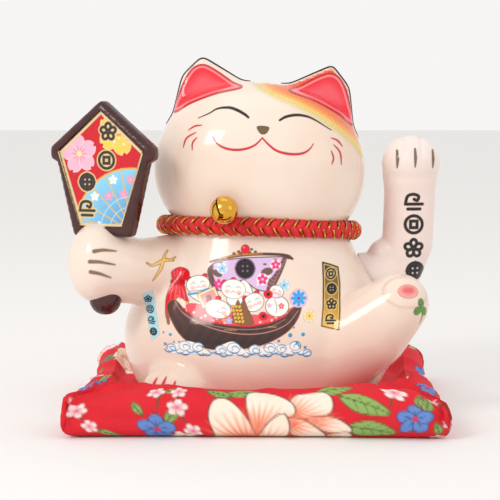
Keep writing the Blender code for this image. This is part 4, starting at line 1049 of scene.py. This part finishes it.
    # hull
    hull = [(-53.9, 71), (-49.6, 72.6), (-43, 66.6), (-33.1, 62.5), (-18.3, 60), (-5.1, 59.5), (6.4, 61.6),
        (14.6, 65), (20, 69.8), (24.5, 70.4), (22, 63.1), (16.3, 56.5), (6.4, 50.8), (-4.3, 47.5), (-18.3, 45.8),
        (-29.8, 46.2), (-40.5, 49.1), (-47.1, 54.1), (-52, 61.5), (-54.6, 67.6)]
    body = c.area(spline(hull, 6, True))
    c.lay(body - 0.35, rgb("b0604c"))
    depth = np.clip((c.z - 46) / 24, 0, 1)[:, None]
    wood = np.array(rgb("2a1512")) * (1 - depth) + np.array(rgb("5a3a36")) * depth
    sheen = 0.5 + 0.5 * np.sin(c.x * 0.9 + 3 * np.sin(c.z * 0.3))
    c.lay(body, wood * (0.85 + 0.3 * sheen[:, None]))
    for rim, wide in (
        ([(-50.2, 72.0), (-44.2, 65.2), (-33.1, 59.9), (-19.9, 56.3), (-5.9, 55.0), (6.4, 56.6), (16.3, 60.8),
            (22.9, 68.3)], 0.45),
        ([(-46, 66.6), (-33.1, 60.9), (-18.3, 58.3), (-5.1, 57.8), (6.4, 59.4), (15, 63.4)], 0.25),
    ):
        c.stroke(rim, [wide * 0.6, wide, wide, wide, wide * 0.6], rgb("d8a09a"), 0.85)
    for x, z, w in ((-17, 56.8, 7.5), (-36, 60.0, 4), (7.5, 58.6, 5)):
        for k in range(5):
            c.stroke([(x - w / 2 + k * w / 5, z + 0.3), (x - w / 2 + (k + 0.5) * w / 5, z + 0.9),
                (x - w / 2 + (k + 0.9) * w / 5, z + 0.2)], 0.3, GOLD_INK, 0.8)
    for k in range(22):
        t = (k + 0.5) / 22
        x = -46 + 62 * t
        top = np.interp(x, [p[0] for p in hull[1:9]], [p[1] for p in hull[1:9]])
        c.lay(c.oval(x, top + 0.2, 1.3, 0.55, -18 + 36 * t), RED)
    # waves that break along the water line
    sea, deep = rgb("2e9bd2"), rgb("1f7fb8")
    crests = ((-52, 46.4, 2.7), (-44, 48.2, 3.4), (-36, 48.0, 3.2), (-22.6, 46.8, 3.2), (-15, 48.2, 3.8),
        (-3, 47.2, 3.2), (6, 48.2, 3.4), (13, 47.6, 2.8), (21, 49.2, 3.2), (28, 44.6, 2.4))
    c.shape([(-55, 44), (-50, 47.5), (-43, 50), (-36, 48.6), (-29, 44.6), (-22, 48.6), (-15, 50.6), (-8, 45.6),
        (-3, 49), (3, 47), (8, 50), (14, 48), (21, 50.2), (24, 46), (30.5, 44), (28, 42.4), (16, 43.6), (0, 43.2),
        (-12, 42.6), (-28, 43.2), (-42, 42.4), (-52, 42.2)], WHITE)
    for x, z, r in crests:
        c.lay(abs(c.oval(x, z - r * 0.35, r, r * 0.8)) - 0.22, sea)
        c.lay(np.maximum(c.oval(x, z - r * 0.35, r - 0.3, r * 0.8 - 0.3), z - 0.1 * r - c.z), WHITE)
        c.stroke([(x + r * 0.95, z - r * 0.6), (x + r * 0.35, z - r * 0.05), (x - r * 0.25, z - r * 0.25),
            (x - r * 0.1, z - r * 0.75)], [0.25, 0.7, 0.5, 0.2], sea)
    for k in range(26):
        x = -54 + 3.25 * k
        z = 43.2 + 1.1 * math.sin(k * 1.7)
        c.stroke([(x - 2.4, z + 1.2), (x - 0.6, z - 0.2), (x + 1.6, z - 0.3), (x + 3.4, z + 0.9)], [0.2, 0.8, 0.8,
            0.2], sea if k % 3 else deep)
    for x, z, r in ((18, 54.3, 1.15), (25.6, 54.6, 1.05), (11.3, 51.1, 0.8), (22.1, 49.9, 1.0), (26.8, 47, 0.85),
        (20.2, 58.7, 0.5), (-56.8, 54, 0.55), (-52.6, 53.1, 0.8), (-50.4, 49, 0.5), (-47.3, 49.3, 0.5),
        (-55.7, 47.3, 0.85)):
        c.lay(c.oval(x, z, r, r), sea)
    c.lay(c.oval(23.1, 75.1, 5.3, 5.2), rgb("f6c9e6"), 0.9)
    c.blossom(23.1, 75.1, 5.1, rgb("2fa6e8"), rgb("7d2f9a"), 8, None, 90, 0.2, True)
    c.lay(c.oval(29.4, 65, 3.7, 3.7), rgb("fbe9ee"), 0.9)
    c.blossom(29.4, 65, 3.5, rgb("f6d36a"), rgb("d94f8a"), 8, None, 90, 0.2, True)


def draw_crane(c):
    for colour, grow in ((rgb("8a6222"), 0.5), (rgb("e9c46a"), 0.0)):
        for points, widths in (
            ([(-66.8, 95.2), (-63.8, 93.4), (-60, 94.6), (-56.4, 96), (-53, 96), (-50.2, 97.4)], [0.3, 0.9, 1.6,
                1.9, 0.8, 0.3]),
            ([(-57.4, 95.4), (-56.6, 98.4), (-54.9, 101.4)], [1.6, 1.1, 0.2]),
            ([(-57.2, 96), (-58.6, 91.4), (-60.6, 88), (-63.2, 84.4)], [1.6, 1.5, 1.1, 0.2]),
            ([(-53, 95.6), (-51, 95.4)], [0.5, 0.2]),
        ):
            c.stroke(points, np.array(widths) + grow, colour)


def draw_strip(c):
    c.shape([(-69.3, 75.5), (-64, 78.4), (-59.4, 52.4), (-64, 48.7)], rgb("a8e0ee"), rgb("cdeef6"), 0.4, smooth=False)
    for k, (x, z) in enumerate(((-66.4, 72.8), (-65.4, 66.3), (-64.2, 60.2), (-63, 53.8))):
        c.motif((2, 0, 3, 1)[k], x, z, 4.9, INK, None, 0.16)


def draw_banner(c):
    outline = [(37.5, 95.2), (42.6, 93.6), (47.5, 91.6), (48.4, 82.1), (47.9, 68), (46.9, 56.5), (41, 57.4),
        (36.2, 58.8), (37.3, 70), (37.7, 84)]
    d = c.area(outline)
    t = np.clip((92 - c.z) / 34, 0, 1)[:, None] ** 1.3
    glow = np.clip(1 - abs(c.x - 42 - (c.z - 76) * 0.05) / 7, 0, 1)[:, None]
    foil = np.array(rgb("4a3016")) * (1 - t) + np.array(rgb("efb640")) * t
    c.lay(d, foil * (0.75 + 0.45 * glow))
    c.lay(abs(d + 0.5) - 0.3, rgb("2a1a10"))
    c.lay(abs(d + 1.1) - 0.2, rgb("f2cf7a"))
    for k, (x, z) in enumerate(((42.7, 88), (43, 79.6), (42.7, 71.2), (41.9, 62.8))):
        c.motif(k, x, z, 6.6, INK, rgb("f0d080"), 0.17)


def draw_fist_claws(c):
    for points in ([(-96.5, 103.4), (-91, 104), (-84, 103)], [(-99, 97.4), (-93, 97.2), (-84.5, 95.2)],
        [(-98.6, 91.4), (-93, 90.2), (-87, 87.6)]):
        c.stroke(points, [2.2, 1.7, 0.6], rgb("8a6a4c"), 0.85)


def draw_foot_claws(c):
    for points in ([(-60.2, 28.6), (-61.6, 26), (-62.8, 23)], [(-54.6, 29.6), (-56, 26.6), (-57.4, 23)],
        [(-49.2, 27.4), (-50, 25), (-50.8, 22)]):
        c.stroke(points, [0.6, 1.5, 1.9], rgb("d8202f"))


def draw_arm(c):
    for x, low, high in ((84.6, 149.5, 160), (95.4, 150, 161), (106.6, 149.5, 160)):
        c.stroke([(x, high), (x + 0.2, (low + high) / 2), (x, low)], [1.2, 1.9, 0.7], rgb("7d6a52"), 0.9)
    for k, z in enumerate((128.6, 114.6, 99.8, 85.8)):
        c.motif((3, 0, 2, 1)[k], 95.2 + 1.2 * (k == 3), z, 12.6, INK, None, 0.145)


def draw_sole(c):
    # painted shade: a faint darker cream ring where the groove round the pad would lie in shade; the pink and red pad
    # is its own colour
    ring = c.oval(0, 0, 13.5, 9.5)
    c.lay(abs(ring) - 0.5, rgb("e9d9cc"), 0.5, 1.5)
    pad = c.oval(0, 0, 6.2, 4.2)
    c.lay(pad, rgb("f2a39a"), 0.95, 0.8)
    c.lay(c.oval(0, 0.6, 3.8, 2.2), rgb("e2606a"), 0.9, 2.2)


def draw_clover(c):
    green = rgb("5d8f3c")
    for k in range(3):
        angle = math.radians(90 + 120 * k)
        c.lay(c.oval(3.0 * math.cos(angle), 3.0 * math.sin(angle), 2.7, 2.2, math.degrees(angle)), green)
    c.stroke([(0, 0), (1.5, -4), (1.0, -8)], [0.9, 0.9, 0.5], green)


def draw_plaque(c):
    half, foot = PLAQUE_W / 2 / MM - 5.2, PLAQUE_FOOT_W / 2 / MM - 5.2
    low, side, top = PLAQUE_FOOT_Z / MM + 6, PLAQUE_SIDE_Z / MM - 1.5, PLAQUE_TOP_Z / MM - 6
    outline = [(-foot, low), (foot, low), (half, side), (0, top), (-half, side)]
    d = c.area(outline)
    inside = d + 1.6
    c.lay(d, rgb("f0d9a6"))
    c.lay(inside, rgb("d8202f"))
    mottle = np.sin(c.x * 1.3 + c.z * 0.9) * np.sin(c.x * 0.5 - c.z * 1.4)
    c.lay(inside, rgb("b8121f"), np.clip(0.25 + 0.25 * mottle, 0, 1))

    def held(draw):
        other = Canvas(c.x, c.z, c.soft)
        draw(other)
        c.lay(inside, other.rgb, other.a)

    def blossoms(o):
        o.blossom(-14.5, 159.5, 11.5, rgb("f7b8cc"), rgb("fbe6a4"), 5, rgb("fbe3ea"), 100, 0.4, True)
        for k in range(10):
            angle = 2 * math.pi * k / 10
            o.stroke([(-14.5 + 1.8 * math.cos(angle), 159.5 + 1.8 * math.sin(angle)),
                (-14.5 + 4.6 * math.cos(angle), 159.5 + 4.6 * math.sin(angle))], [0.5, 0.3], rgb("e8557c"))
        o.blossom(11.5, 172.5, 13.5, rgb("f2cf5e"), rgb("f6a030"), 5, rgb("fbeeb4"), 70, 0.42, True)
        for k in range(15):
            angle = 2.4 * k
            o.lay(o.oval(11.5 + 2.4 * math.sqrt(k) * math.cos(angle), 172.5 + 2.4 * math.sqrt(k) * math.sin(angle),
                0.65, 0.65), WHITE, 0.9)

    def fan(o):
        cx, cz, reach = 20.0, 114.0, 38.0
        leaf = o.oval(cx, cz, reach, reach)
        o.lay(leaf, rgb("e2b456"))
        span = np.hypot(o.x - cx, o.z - cz) / reach
        tone = np.array(rgb("3f8fd0")) * (1 - span[:, None]) + np.array(rgb("8fd3ef")) * span[:, None]
        o.lay(leaf + 1.1, tone)
        for k in range(7):
            angle = math.radians(84 + 17 * k)
            o.stroke([(cx, cz), (cx + reach * math.cos(angle), cz + reach * math.sin(angle))], [0.9, 0.7],
                rgb("e2b456"))
        for k, (angle, far) in enumerate(((92, 31), (112, 33), (126, 26), (140, 32), (158, 30), (172, 22), (104, 23))):
            angle = math.radians(angle)
            o.blossom(cx + far * math.cos(angle), cz + far * math.sin(angle), 2.9, (rgb("f29ac0"),
                rgb("e8f6fb"))[k % 2], rgb("f6e08a"))
        for k in range(3):
            o.lay(abs(o.oval(cx, cz, 9 + 6 * k, 9 + 6 * k)) - 0.3, rgb("bfe6f6"), 0.7)

    held(blossoms)
    held(fan)
    for k, (x, z) in enumerate(((4.6, 172.8), (3.4, 156.0), (-9.4, 143.0), (-9.6, 127.4))):
        c.motif((2, 0, 1, 3)[k], x, z, 11.4, rgb("3b2f34"), rgb("e9cf8c"), 0.16)


def paint_cat():
    skin = BVHTree.FromObject(cat, bpy.context.evaluated_depsgraph_get())
    for name, draw, low, high, step, lift in (
        ("marmalade_patch", draw_patch, (-8, 150), (66, 214), 0.6, 0.03),
        ("face_paint", draw_face, (-52, 148), (56, 192), 0.35, 0.08),
        ("boat_print", draw_boat, (-60, 38), (36, 108), 0.32, 0.05),
        ("crane_print", draw_crane, (-70, 82), (-48, 103), 0.32, 0.05),
        ("blue_strip_print", draw_strip, (-71, 46), (-57, 80), 0.32, 0.05),
        ("banner_print", draw_banner, (35, 55), (50, 97), 0.32, 0.05),
        ("fist_claws", draw_fist_claws, (-106, 84), (-78, 108), 0.5, 0.05),
        ("foot_claws", draw_foot_claws, (-66, 16), (-46, 34), 0.5, 0.05),
    ):
        film(name, skin, "cat", draw, low, high, step, lift)
    for name, side in (("ear_glaze_right", -1), ("ear_glaze_left", 1)):
        low, high = ((-66, 168), (-6, 220)) if side < 0 else ((8, 164), (68, 216))
        film(name, skin, "cat", lambda c: draw_ear(c, side), low, high, 0.4, 0.1)
    toward = Vector((0.30, -0.90, 0.25)).normalized()
    right = Vector((0, 0, 1)).cross(toward).normalized()
    up = toward.cross(right).normalized()
    for name, at, draw in (("sole_pad", (86, -62, 79), draw_sole), ("clover_print", (90, -50, 66), draw_clover)):
        film(name, skin, "cat", draw, (-16, -12), (16, 12), 0.4, 0.06, Vector(at) * MM, right, up,
            0.05, 0.068)
    for name, side in (("ear_rim_right", -1), ("ear_rim_left", 1)):
        ridge = []
        for x, z in ((58, 20), (56.5, 30), (54, 42), (50.5, 52), (45.5, 59), (40, 63), (33, 60.5), (25, 56),
            (16, 51), (9, 48)):
            ridge.append(head_matrix() @ Vector((x * side * MM, 0, z * MM)) + CAT)
        laid = [skin.find_nearest(at)[0] - CAT for at in spline(ridge, 5)]
        thick = [(0.25 + 0.75 * math.sin(math.pi * k / (len(laid) - 1)) ** 0.4) * MM for k in range(len(laid))]
        bm = bmesh.new()
        add_tube(bm, laid, thick, 8)
        piece(name, bm, EAR_RIM, "cat")
    paw = BVHTree.FromObject(arm_front, bpy.context.evaluated_depsgraph_get())
    film("arm_print", paw, "waving_arm", draw_arm, (78, 76), (113, 166), 0.35, 0.05)
    face = BVHTree.FromObject(bpy.data.objects["plaque"], bpy.context.evaluated_depsgraph_get())
    turned = Matrix.Rotation(PLAQUE_TURN, 4, "Z") @ Vector((1, 0, 0))
    at = (PLAQUE_X, PLAQUE_Y, 0)
    film("plaque_print", face, "cat", draw_plaque, (-36, 108), (36, 196), 0.35, 0.05, at, turned)


paint_cat()

# ---- floor, light and camera ------------------------------------------------------------------------------------

# ---- cushion ----------------------------------------------------------------------------------------------------


def cushion_top(u, v, x, y):
    """Height of the cushion's upper skin: flat under the cat, rising to a plump rim that thins at the corners."""
    low = SEAT_Z - GAP
    hollow_x, hollow_y = CUSHION_HOLLOW
    reach = ((abs(x) / hollow_x) ** 3 + (abs(y) / hollow_y) ** 3) ** (1 / 3)
    share = min(1.0, max(0.0, (reach - 1) * hollow_y / CUSHION_CREST))
    rim = CUSHION.z * (1 - 0.17 * (u * v) ** 6)
    return low + (rim - low) * share * share * (3 - 2 * share)


def folds(x, y, z, u, v):
    """Depth in millimetres of the creases in the cotton: pulled towards the corners and away from the cat."""
    px, py = x / MM, y / MM
    deep = 0.0
    for cx, cy, strength in ((-1, -1, 1.0), (1, -1, 1.3), (1, 1, 1.0), (-1, 1, 0.8)):
        du, dv = cx - u, cy - v
        near = math.exp(-((du * du + dv * dv) / 0.16))
        fan = math.atan2(abs(dv) + 0.02, abs(du) + 0.02)
        deep += strength * near * 2.0 * (1 - 2 * abs(math.sin(fan * 6.5 + 2.2 * cx + 3.1 * cy)) ** 0.7)
    side = math.exp(-(((abs(u) - 0.9) / 0.16) ** 2))
    deep += side * 1.3 * (1 - 2 * abs(math.sin(py * 0.115 + 0.8 * math.sin(px * 0.06) + z / MM * 0.1)) ** 0.7)
    front = math.exp(-(((abs(v) - 0.93) / 0.12) ** 2))
    deep += front * 0.9 * (1 - 2 * abs(math.sin(px * 0.07 + 0.9 * math.sin(py * 0.11 + px * 0.031) + z / MM * 0.09)) ** 0.7)
    spot = noise.noise(Vector((px * 0.035, py * 0.035, z / MM * 0.03)))
    fine = noise.noise(Vector((px * 0.11 + 9, py * 0.11, z / MM * 0.09)))
    return deep + 1.1 * spot + 0.45 * fine


def cushion():
    half = CUSHION / 2
    across, along, rows = 300, 130, 40
    towards_front = 1.25  # the rows of points stand closer together at the front
    us = [2 * i / across - 1 for i in range(across + 1)]
    vs = [2 * (j / along) ** towards_front - 1 for j in range(along + 1)]

    def outline(u, v, inset):
        pinch_u, pinch_v = 1 - CUSHION_PINCH * (1 - v * v), 1 - CUSHION_PINCH * 0.4 * (1 - u * u)
        return u * (half.x * pinch_u - inset), v * (half.y * pinch_v - inset)

    places, flat, owner = [], [], []
    grid = {}
    for i, u in enumerate(us):
        for j, v in enumerate(vs):
            x, y = outline(u, v, half.z)
            grid[i, j] = len(places)
            places.append(Vector((x, y, cushion_top(u, v, x, y))))
            flat.append((x / MM, y / MM))
            owner.append((u, v))
    faces = [(grid[i, j], grid[i + 1, j], grid[i + 1, j + 1],
        grid[i, j + 1]) for i in range(across) for j in range(along)]
    edge = [(i, 0) for i in range(across)] + [(across, j) for j in range(along)]
    edge += [(i, along) for i in range(across, 0, -1)] + [(0, j) for j in range(along, 0, -1)]
    above = [grid[at] for at in edge]
    walked = [0.0] * len(edge)
    before = [places[k] for k in above]
    for row in range(1, rows + 1):
        angle = math.pi / 2 - math.pi * row / rows
        out, up = math.cos(angle), math.sin(angle)
        if up < 0:
            out = (1 - abs(up) ** 2.8) ** (1 / 2.8)
        loop = []
        for n, (i, j) in enumerate(edge):
            u, v = us[i], vs[j]
            x, y = outline(u, v, half.z * (1 - out))
            at = Vector((x, y, places[grid[i, j]].z / 2 * (1 + up)))
            if row == rows:
                at = Vector((at.x * 0.955, at.y * 0.955, at.z))
            walked[n] += (at - before[n]).length / MM
            before[n] = at.copy()
            fx, fy = places[grid[i, j]].x / MM, places[grid[i, j]].y / MM
            reach = walked[n]
            flat.append((fx + (reach if i == across else -reach if i == 0 else 0),
                fy + (-reach if j == 0 else reach if j == along else 0)))
            loop.append(len(places))
            places.append(at)
            owner.append((u, v))
        for k in range(len(edge)):
            after = (k + 1) % len(edge)
            faces.append((above[k], loop[k], loop[after], above[after]))
        above = loop
    faces.append(tuple(reversed(above)))
    mesh = bpy.data.meshes.new("cushion_cover")
    mesh.from_pydata([tuple(at) for at in places], [], faces)
    mesh.update()
    normals = [vertex.normal.copy() for vertex in mesh.vertices]
    for vertex, normal, (u, v) in zip(mesh.vertices, normals, owner):
        x, y, z = vertex.co
        lift = min(1.0, max(0.0, (z - 3 * MM) / (8 * MM)))
        hollow = ((abs(x) / CUSHION_HOLLOW[0]) ** 3 + (abs(y) / CUSHION_HOLLOW[1]) ** 3) ** (1 / 3)
        calm = min(1.0, max(0.0, (hollow - 0.97) / 0.12))
        shove = (folds(x, y, z, u, v) - 1.0) * lift * calm * MM
        vertex.co += normal * shove
    centre = middle("cushion")
    turn = Matrix.Translation((centre.x, centre.y, 0)) @ Matrix.Rotation(CUSHION_TURN, 4, "Z")
    tree = BVHTree.FromObject(cat, bpy.context.evaluated_depsgraph_get())
    back, room = turn.inverted(), 0.6 * MM
    for _ in range(3):
        for vertex in mesh.vertices:
            at = turn @ vertex.co
            if at.z <= 8 * MM:
                continue
            on, normal, _, _ = tree.find_nearest(at, 12 * MM)
            if on is None:
                continue
            clear = (at - on).dot(normal)
            if clear < room:
                vertex.co = back @ (at + normal * (room - clear))
    mesh.transform(turn)
    flat = np.array(flat)
    canvas = Canvas(flat[:, 0], flat[:, 1], 0.9, rgb("dc1829"))
    draw_cotton(canvas)
    store_paint(mesh, canvas)
    mesh.shade_smooth()
    cover = bpy.data.objects.new("cushion_cover", mesh)
    bpy.context.scene.collection.objects.link(cover)
    mesh.materials.append(COTTON)
    declare(cover, "root", ["cushion"])
    return cover


def leaf(c, x, z, length, turn, pale, dark):
    t = math.radians(turn)

    def at(u, v):
        return x + u * math.cos(t) - v * math.sin(t), z + u * math.sin(t) + v * math.cos(t)

    w = length * 0.2
    c.shape([at(-length / 2, 0), at(-length * 0.2, w), at(length * 0.15, w * 0.9), at(length / 2, 0),
        at(length * 0.15, -w * 0.9), at(-length * 0.2, -w)], pale, dark, 0.5)
    c.stroke([at(-length / 2, 0), at(0, w * 0.1), at(length / 2, 0)], [0.7, 0.3], dark)
    for k in (-0.22, -0.02, 0.18):
        for side in (-1, 1):
            c.stroke([at(length * k, 0), at(length * (k + 0.13), side * w * 0.7)], [0.4, 0.2], dark, 0.8)


def peony(c, x, z, size, warm=True):
    """A full-blown peony: broad outer petals round a crowded heart."""
    outer = (rgb("fcebd8"), rgb("f9cdb0"), rgb("ee6b35")) if warm else (rgb("fdeef2"), rgb("f8c3d0"), rgb("ea6a90"))
    ink = rgb("6e1c22") if warm else rgb("a83256")
    rings = ((9, 0.72, 0.34, 0.31, 0), (7, 0.46, 0.27, 0.25, 25), (5, 0.22, 0.2, 0.17, 8))
    for ring, (count, away, long_, wide, start) in enumerate(rings):
        for k in range(count):
            angle = math.radians(start) + 2 * math.pi * k / count
            jitter = 1 + 0.1 * math.sin(k * 2.7 + ring)
            px, pz = x + math.cos(angle) * size * away * jitter, z + math.sin(angle) * size * away * jitter * 0.82
            petal = c.oval(px, pz, size * long_ * jitter, size * wide, math.degrees(angle))
            notch = c.oval(px + math.cos(angle) * size * long_ * 1.05, pz + math.sin(angle) * size * long_ * 1.05,
                size * 0.09, size * 0.07)
            petal = np.maximum(petal, -notch)
            c.lay(petal - 0.5, ink, 0.85)
            c.lay(petal, outer[0])
            base = c.oval(px - math.cos(angle) * size * long_ * 0.5, pz - math.sin(angle) * size * long_ * 0.5,
                size * long_ * 0.8, size * wide * 0.75, math.degrees(angle))
            c.lay(np.maximum(base, petal), outer[1], 0.8, size * 0.18)
            c.lay(np.maximum(base + size * 0.08, petal), outer[2], 0.75, size * 0.2)
            for vein in (-0.35, 0.0, 0.35):
                a = angle + vein * 0.6
                c.stroke([(px - math.cos(a) * size * long_ * 0.3, pz - math.sin(a) * size * long_ * 0.3),
                    (px + math.cos(a) * size * long_ * 0.6, pz + math.sin(a) * size * long_ * 0.6)], [0.3, 0.15],
                    outer[2], 0.55)
    for k in range(14):
        angle = 2.4 * k
        c.lay(c.oval(x + size * 0.035 * math.sqrt(k) * 2 * math.cos(angle),
            z + size * 0.03 * math.sqrt(k) * 2 * math.sin(angle), 0.8, 0.8), rgb("f6d24e"))


def big_petal(c, points, root):
    """One broad petal: cream, flushed orange from its root, with a dark drawn edge."""
    shape = c.area(spline(points, 6, True))
    c.lay(shape - 0.35, rgb("4a1c22"))
    c.lay(shape + 0.35, rgb("fbe6d4"))
    far = np.hypot(c.x - root[0], c.z - root[1])
    size = max(math.hypot(p[0] - root[0], p[1] - root[1]) for p in points)
    angle = np.arctan2(c.z - root[1], c.x - root[0])
    rays = size * (0.5 + 0.12 * np.sin(angle * 34))
    c.lay(np.maximum(far - rays, shape + 0.5), rgb("f08a5c"), 0.8, size * 0.35)
    c.lay(np.maximum(far - rays * 0.6, shape + 0.5), rgb("e4542c"), 0.85, size * 0.25)


def front_peony(c):
    """The large bloom across the cushion's front."""
    for x, z, long_, turn in ((54, -110, 27, -28), (58, -126, 26, -14), (42, -97, 22, 8), (-9, -96, 18, 186),
        (-20, -97, 15, 160)):
        leaf(c, x, z, long_, turn, rgb("8fb05e"), rgb("2c3a22"))
    for points, root in (
        ([(19.5, -99.6), (28, -97), (35.7, -98.6), (38.4, -105.9), (35.7, -114.3), (23.9, -115.3), (13.5, -114.3)],
            (14, -116)),
        ([(-4.2, -96.5), (-4.9, -105.9), (-1.2, -122.6), (0.2, -128.9), (6.2, -116.4), (18, -113.2), (18.7, -105.9),
            (12, -98.6), (3.2, -95.9)], (1, -124)),
        ([(-21.9, -103.8), (-23.4, -114.3), (-21.2, -124.7), (-21.9, -132), (-16, -137.3), (-1.2, -135.2),
            (0.2, -126.8), (-4.2, -114.3), (-11.6, -103.8), (-17.5, -100.7)], (-3, -135)),
        ([(25.4, -115.3), (37.2, -116.4), (46.1, -122.6), (47.5, -126.8), (38.7, -126.8), (29.8, -121.6)], (25, -118)),
        ([(35.7, -128.9), (46.1, -126.8), (50.5, -133.1), (47.5, -137.3), (37.2, -137.3)], (33, -134)),
        ([(13.5, -134.1), (23.9, -129), (35.7, -130), (37.5, -138.3), (15, -139.3)], (22, -140)),
        ([(13.5, -114.3), (23.9, -116.4), (35, -127), (34.2, -131), (23.9, -129.9), (17.2, -123.7)], (13, -116)),
        ([(0.2, -137.2), (1, -126.8), (6.2, -116.4), (13.5, -111.1), (16.8, -120.5), (14.5, -133.1), (9.1, -139.3)],
            (3, -139)),
    ):
        big_petal(c, points, root)


def blue_flower(c, x, z, size):
    for k in range(5):
        angle = math.radians(90 + 72 * k)
        px, pz = x + math.cos(angle) * size * 0.56, z + math.sin(angle) * size * 0.56
        petal = c.oval(px, pz, size * 0.46, size * 0.38, math.degrees(angle))
        c.lay(petal - 0.5, rgb("1f2a4a"))
        c.lay(petal, rgb("6488cc"))
        c.stroke([(x, z), (px, pz)], [0.8, 0.4], rgb("1f2a4a"), 0.8)
    c.lay(c.oval(x, z, size * 0.19, size * 0.19), rgb("c23a6a"))


def draw_cotton(c):
    """A repeating print of peonies, blue blossom, leaves and twigs on a red ground."""
    green, dark_green, olive = rgb("b9c08c"), rgb("3e4a2e"), rgb("6d8a6a")
    weave = 0.5 + 0.5 * np.sin(c.x * 0.21 + 1.7 * np.sin(c.z * 0.13)) * np.sin(c.z * 0.17)
    c.lay(np.full(len(c.x), -1.0), rgb("c90f22"), 0.4 * weave)
    for x, z in ((-72, 44), (76, 66), (98, -28), (-104, -34), (-12, 106), (-118, 84), (64, 126)):
        warm = (x, z) in ((-72, 44), (64, 126))
        size = 22
        for lx, lz, long_, turn in ((1.15, 0.55, 0.95, 20), (1.35, -0.05, 0.9, -20), (-1.2, 0.62, 0.9, 160),
            (-1.3, -0.4, 0.8, 205)):
            leaf(c, x + lx * size, z + lz * size * 0.8, size * long_, turn, green if lx > 0 else olive, dark_green)
        peony(c, x, z, size, warm)
    for x, z, size in ((-49.3, -125.5, 9.4), (78, -120, 9), (-98, -72, 10), (101, -74, 8), (52, 101, 10),
        (-60, 100, 10), (110, 24, 9), (-114, 10, 9)):
        leaf(c, x + size * 0.9, z + size * 1.1, size * 1.5, 60, rgb("8fb05e"), dark_green)
        blue_flower(c, x, z, size)
    twigs = (
        [(-104, -101), (-94.4, -112.2), (-84, -122.6), (-75, -133)], [(-49.3, -99), (-48.5, -116)], [(-40.4, -98),
            (-38, -112), (-31, -126)],
        [(66, -112), (72.7, -101), (84, -98)], [(92, -101), (96.3, -113), (94.8, -134)], [(-104, -62), (-96, -52),
            (-98, -36)], [(104, -58), (98, -44), (103, -10)],
    )
    for stem in twigs:
        c.stroke(stem, [1.0, 0.9, 0.6], rgb("4b4a30"))
    for x, z, size, turn in ((-58.9, -113, 10, 125), (-74, -131, 12, -30), (82.3, -108, 9, 60), (90, -126, 9, 120),
        (100, -104, 8, 40), (-44, -99, 9, 15)):
        leaf(c, x, z, size, turn, rgb("9dbb68"), dark_green)
    buds = (
        (-88.4, -115.3, 5.2), (-82.5, -125.8, 4.0), (-98, -106, 3.0), (-38.9, -111, 5.4), (-31.5, -124.7, 4.6),
            (-52.2, -100.7, 4.6), (-40.4, -100, 4.4),
        (72.7, -101, 6.4), (91.9, -102.8, 3.6), (102.2, -112.2, 5.2), (94.8, -122.6, 3.4), (93.4, -134, 3.6),
            (-96, -50, 5), (100, -40, 5.5), (103, -16, 4),
    )
    for k, (x, z, size) in enumerate(buds):
        c.blossom(x, z, size, rgb("fbe3e0"), rgb("d8406a"), 5, rgb("7c2030"), 70 + 30 * k, 0.36)
        c.lay(c.oval(x, z, size * 0.5, size * 0.45), rgb("ee7f98"), 0.7, size * 0.5)
    c.blossom(-37.5, -132, 6, rgb("fbe6d4"), rgb("e4542c"), 5, rgb("4a1c22"), 40, 0.4)
    front_peony(c)


COTTON, _, _ = painted("printed_cotton", 0.82)
cushion()



def studio():
    bpy.ops.mesh.primitive_plane_add(size=12, location=(0, 0, 0))
    floor = bpy.context.object
    floor.name = "studio_floor"
    made, _, _ = material("studio_paper", rgb("efeeed"), 0.9)
    floor.data.materials.append(made)
    world = bpy.data.worlds.new("studio")
    bpy.context.scene.world = world
    world.use_nodes = True
    world.node_tree.nodes["Background"].inputs["Color"].default_value = (1.0, 0.985, 0.97, 1)
    world.node_tree.nodes["Background"].inputs["Strength"].default_value = 0.93
    target = Vector((0, 0, 0.1))
    for name, at, size, power, colour in (
        ("key", (-0.9, -1.1, 0.95), 0.5, 7.5, (1.0, 0.97, 0.94)),
        ("fill", (1.2, -0.9, 0.6), 0.7, 0.9, (1.0, 0.96, 0.93)),
        ("top", (0.0, 0.2, 1.4), 0.8, 1.0, (1.0, 0.98, 0.96)),
    ):
        data = bpy.data.lights.new(name, "AREA")
        data.energy, data.size, data.color = power, size, colour
        lamp = bpy.data.objects.new(name, data)
        lamp.location = at
        lamp.rotation_mode = "QUATERNION"
        lamp.rotation_quaternion = (target - Vector(at)).to_track_quat("-Z", "Y")
        bpy.context.scene.collection.objects.link(lamp)
    data = bpy.data.cameras.new("camera")
    data.lens, data.sensor_width = 127.7, 36
    camera = bpy.data.objects.new("camera", data)
    rise, away, aim = math.radians(5.5), 1.1, Vector((0, 0, 0.098))
    back = Vector((0, -math.cos(rise), math.sin(rise)))
    camera.location = aim + back * away
    camera.rotation_mode = "QUATERNION"
    camera.rotation_quaternion = (-back).to_track_quat("-Z", "Y")
    bpy.context.scene.collection.objects.link(camera)
    bpy.context.scene.camera = camera
    bpy.context.scene.view_settings.view_transform = "Standard"


studio()
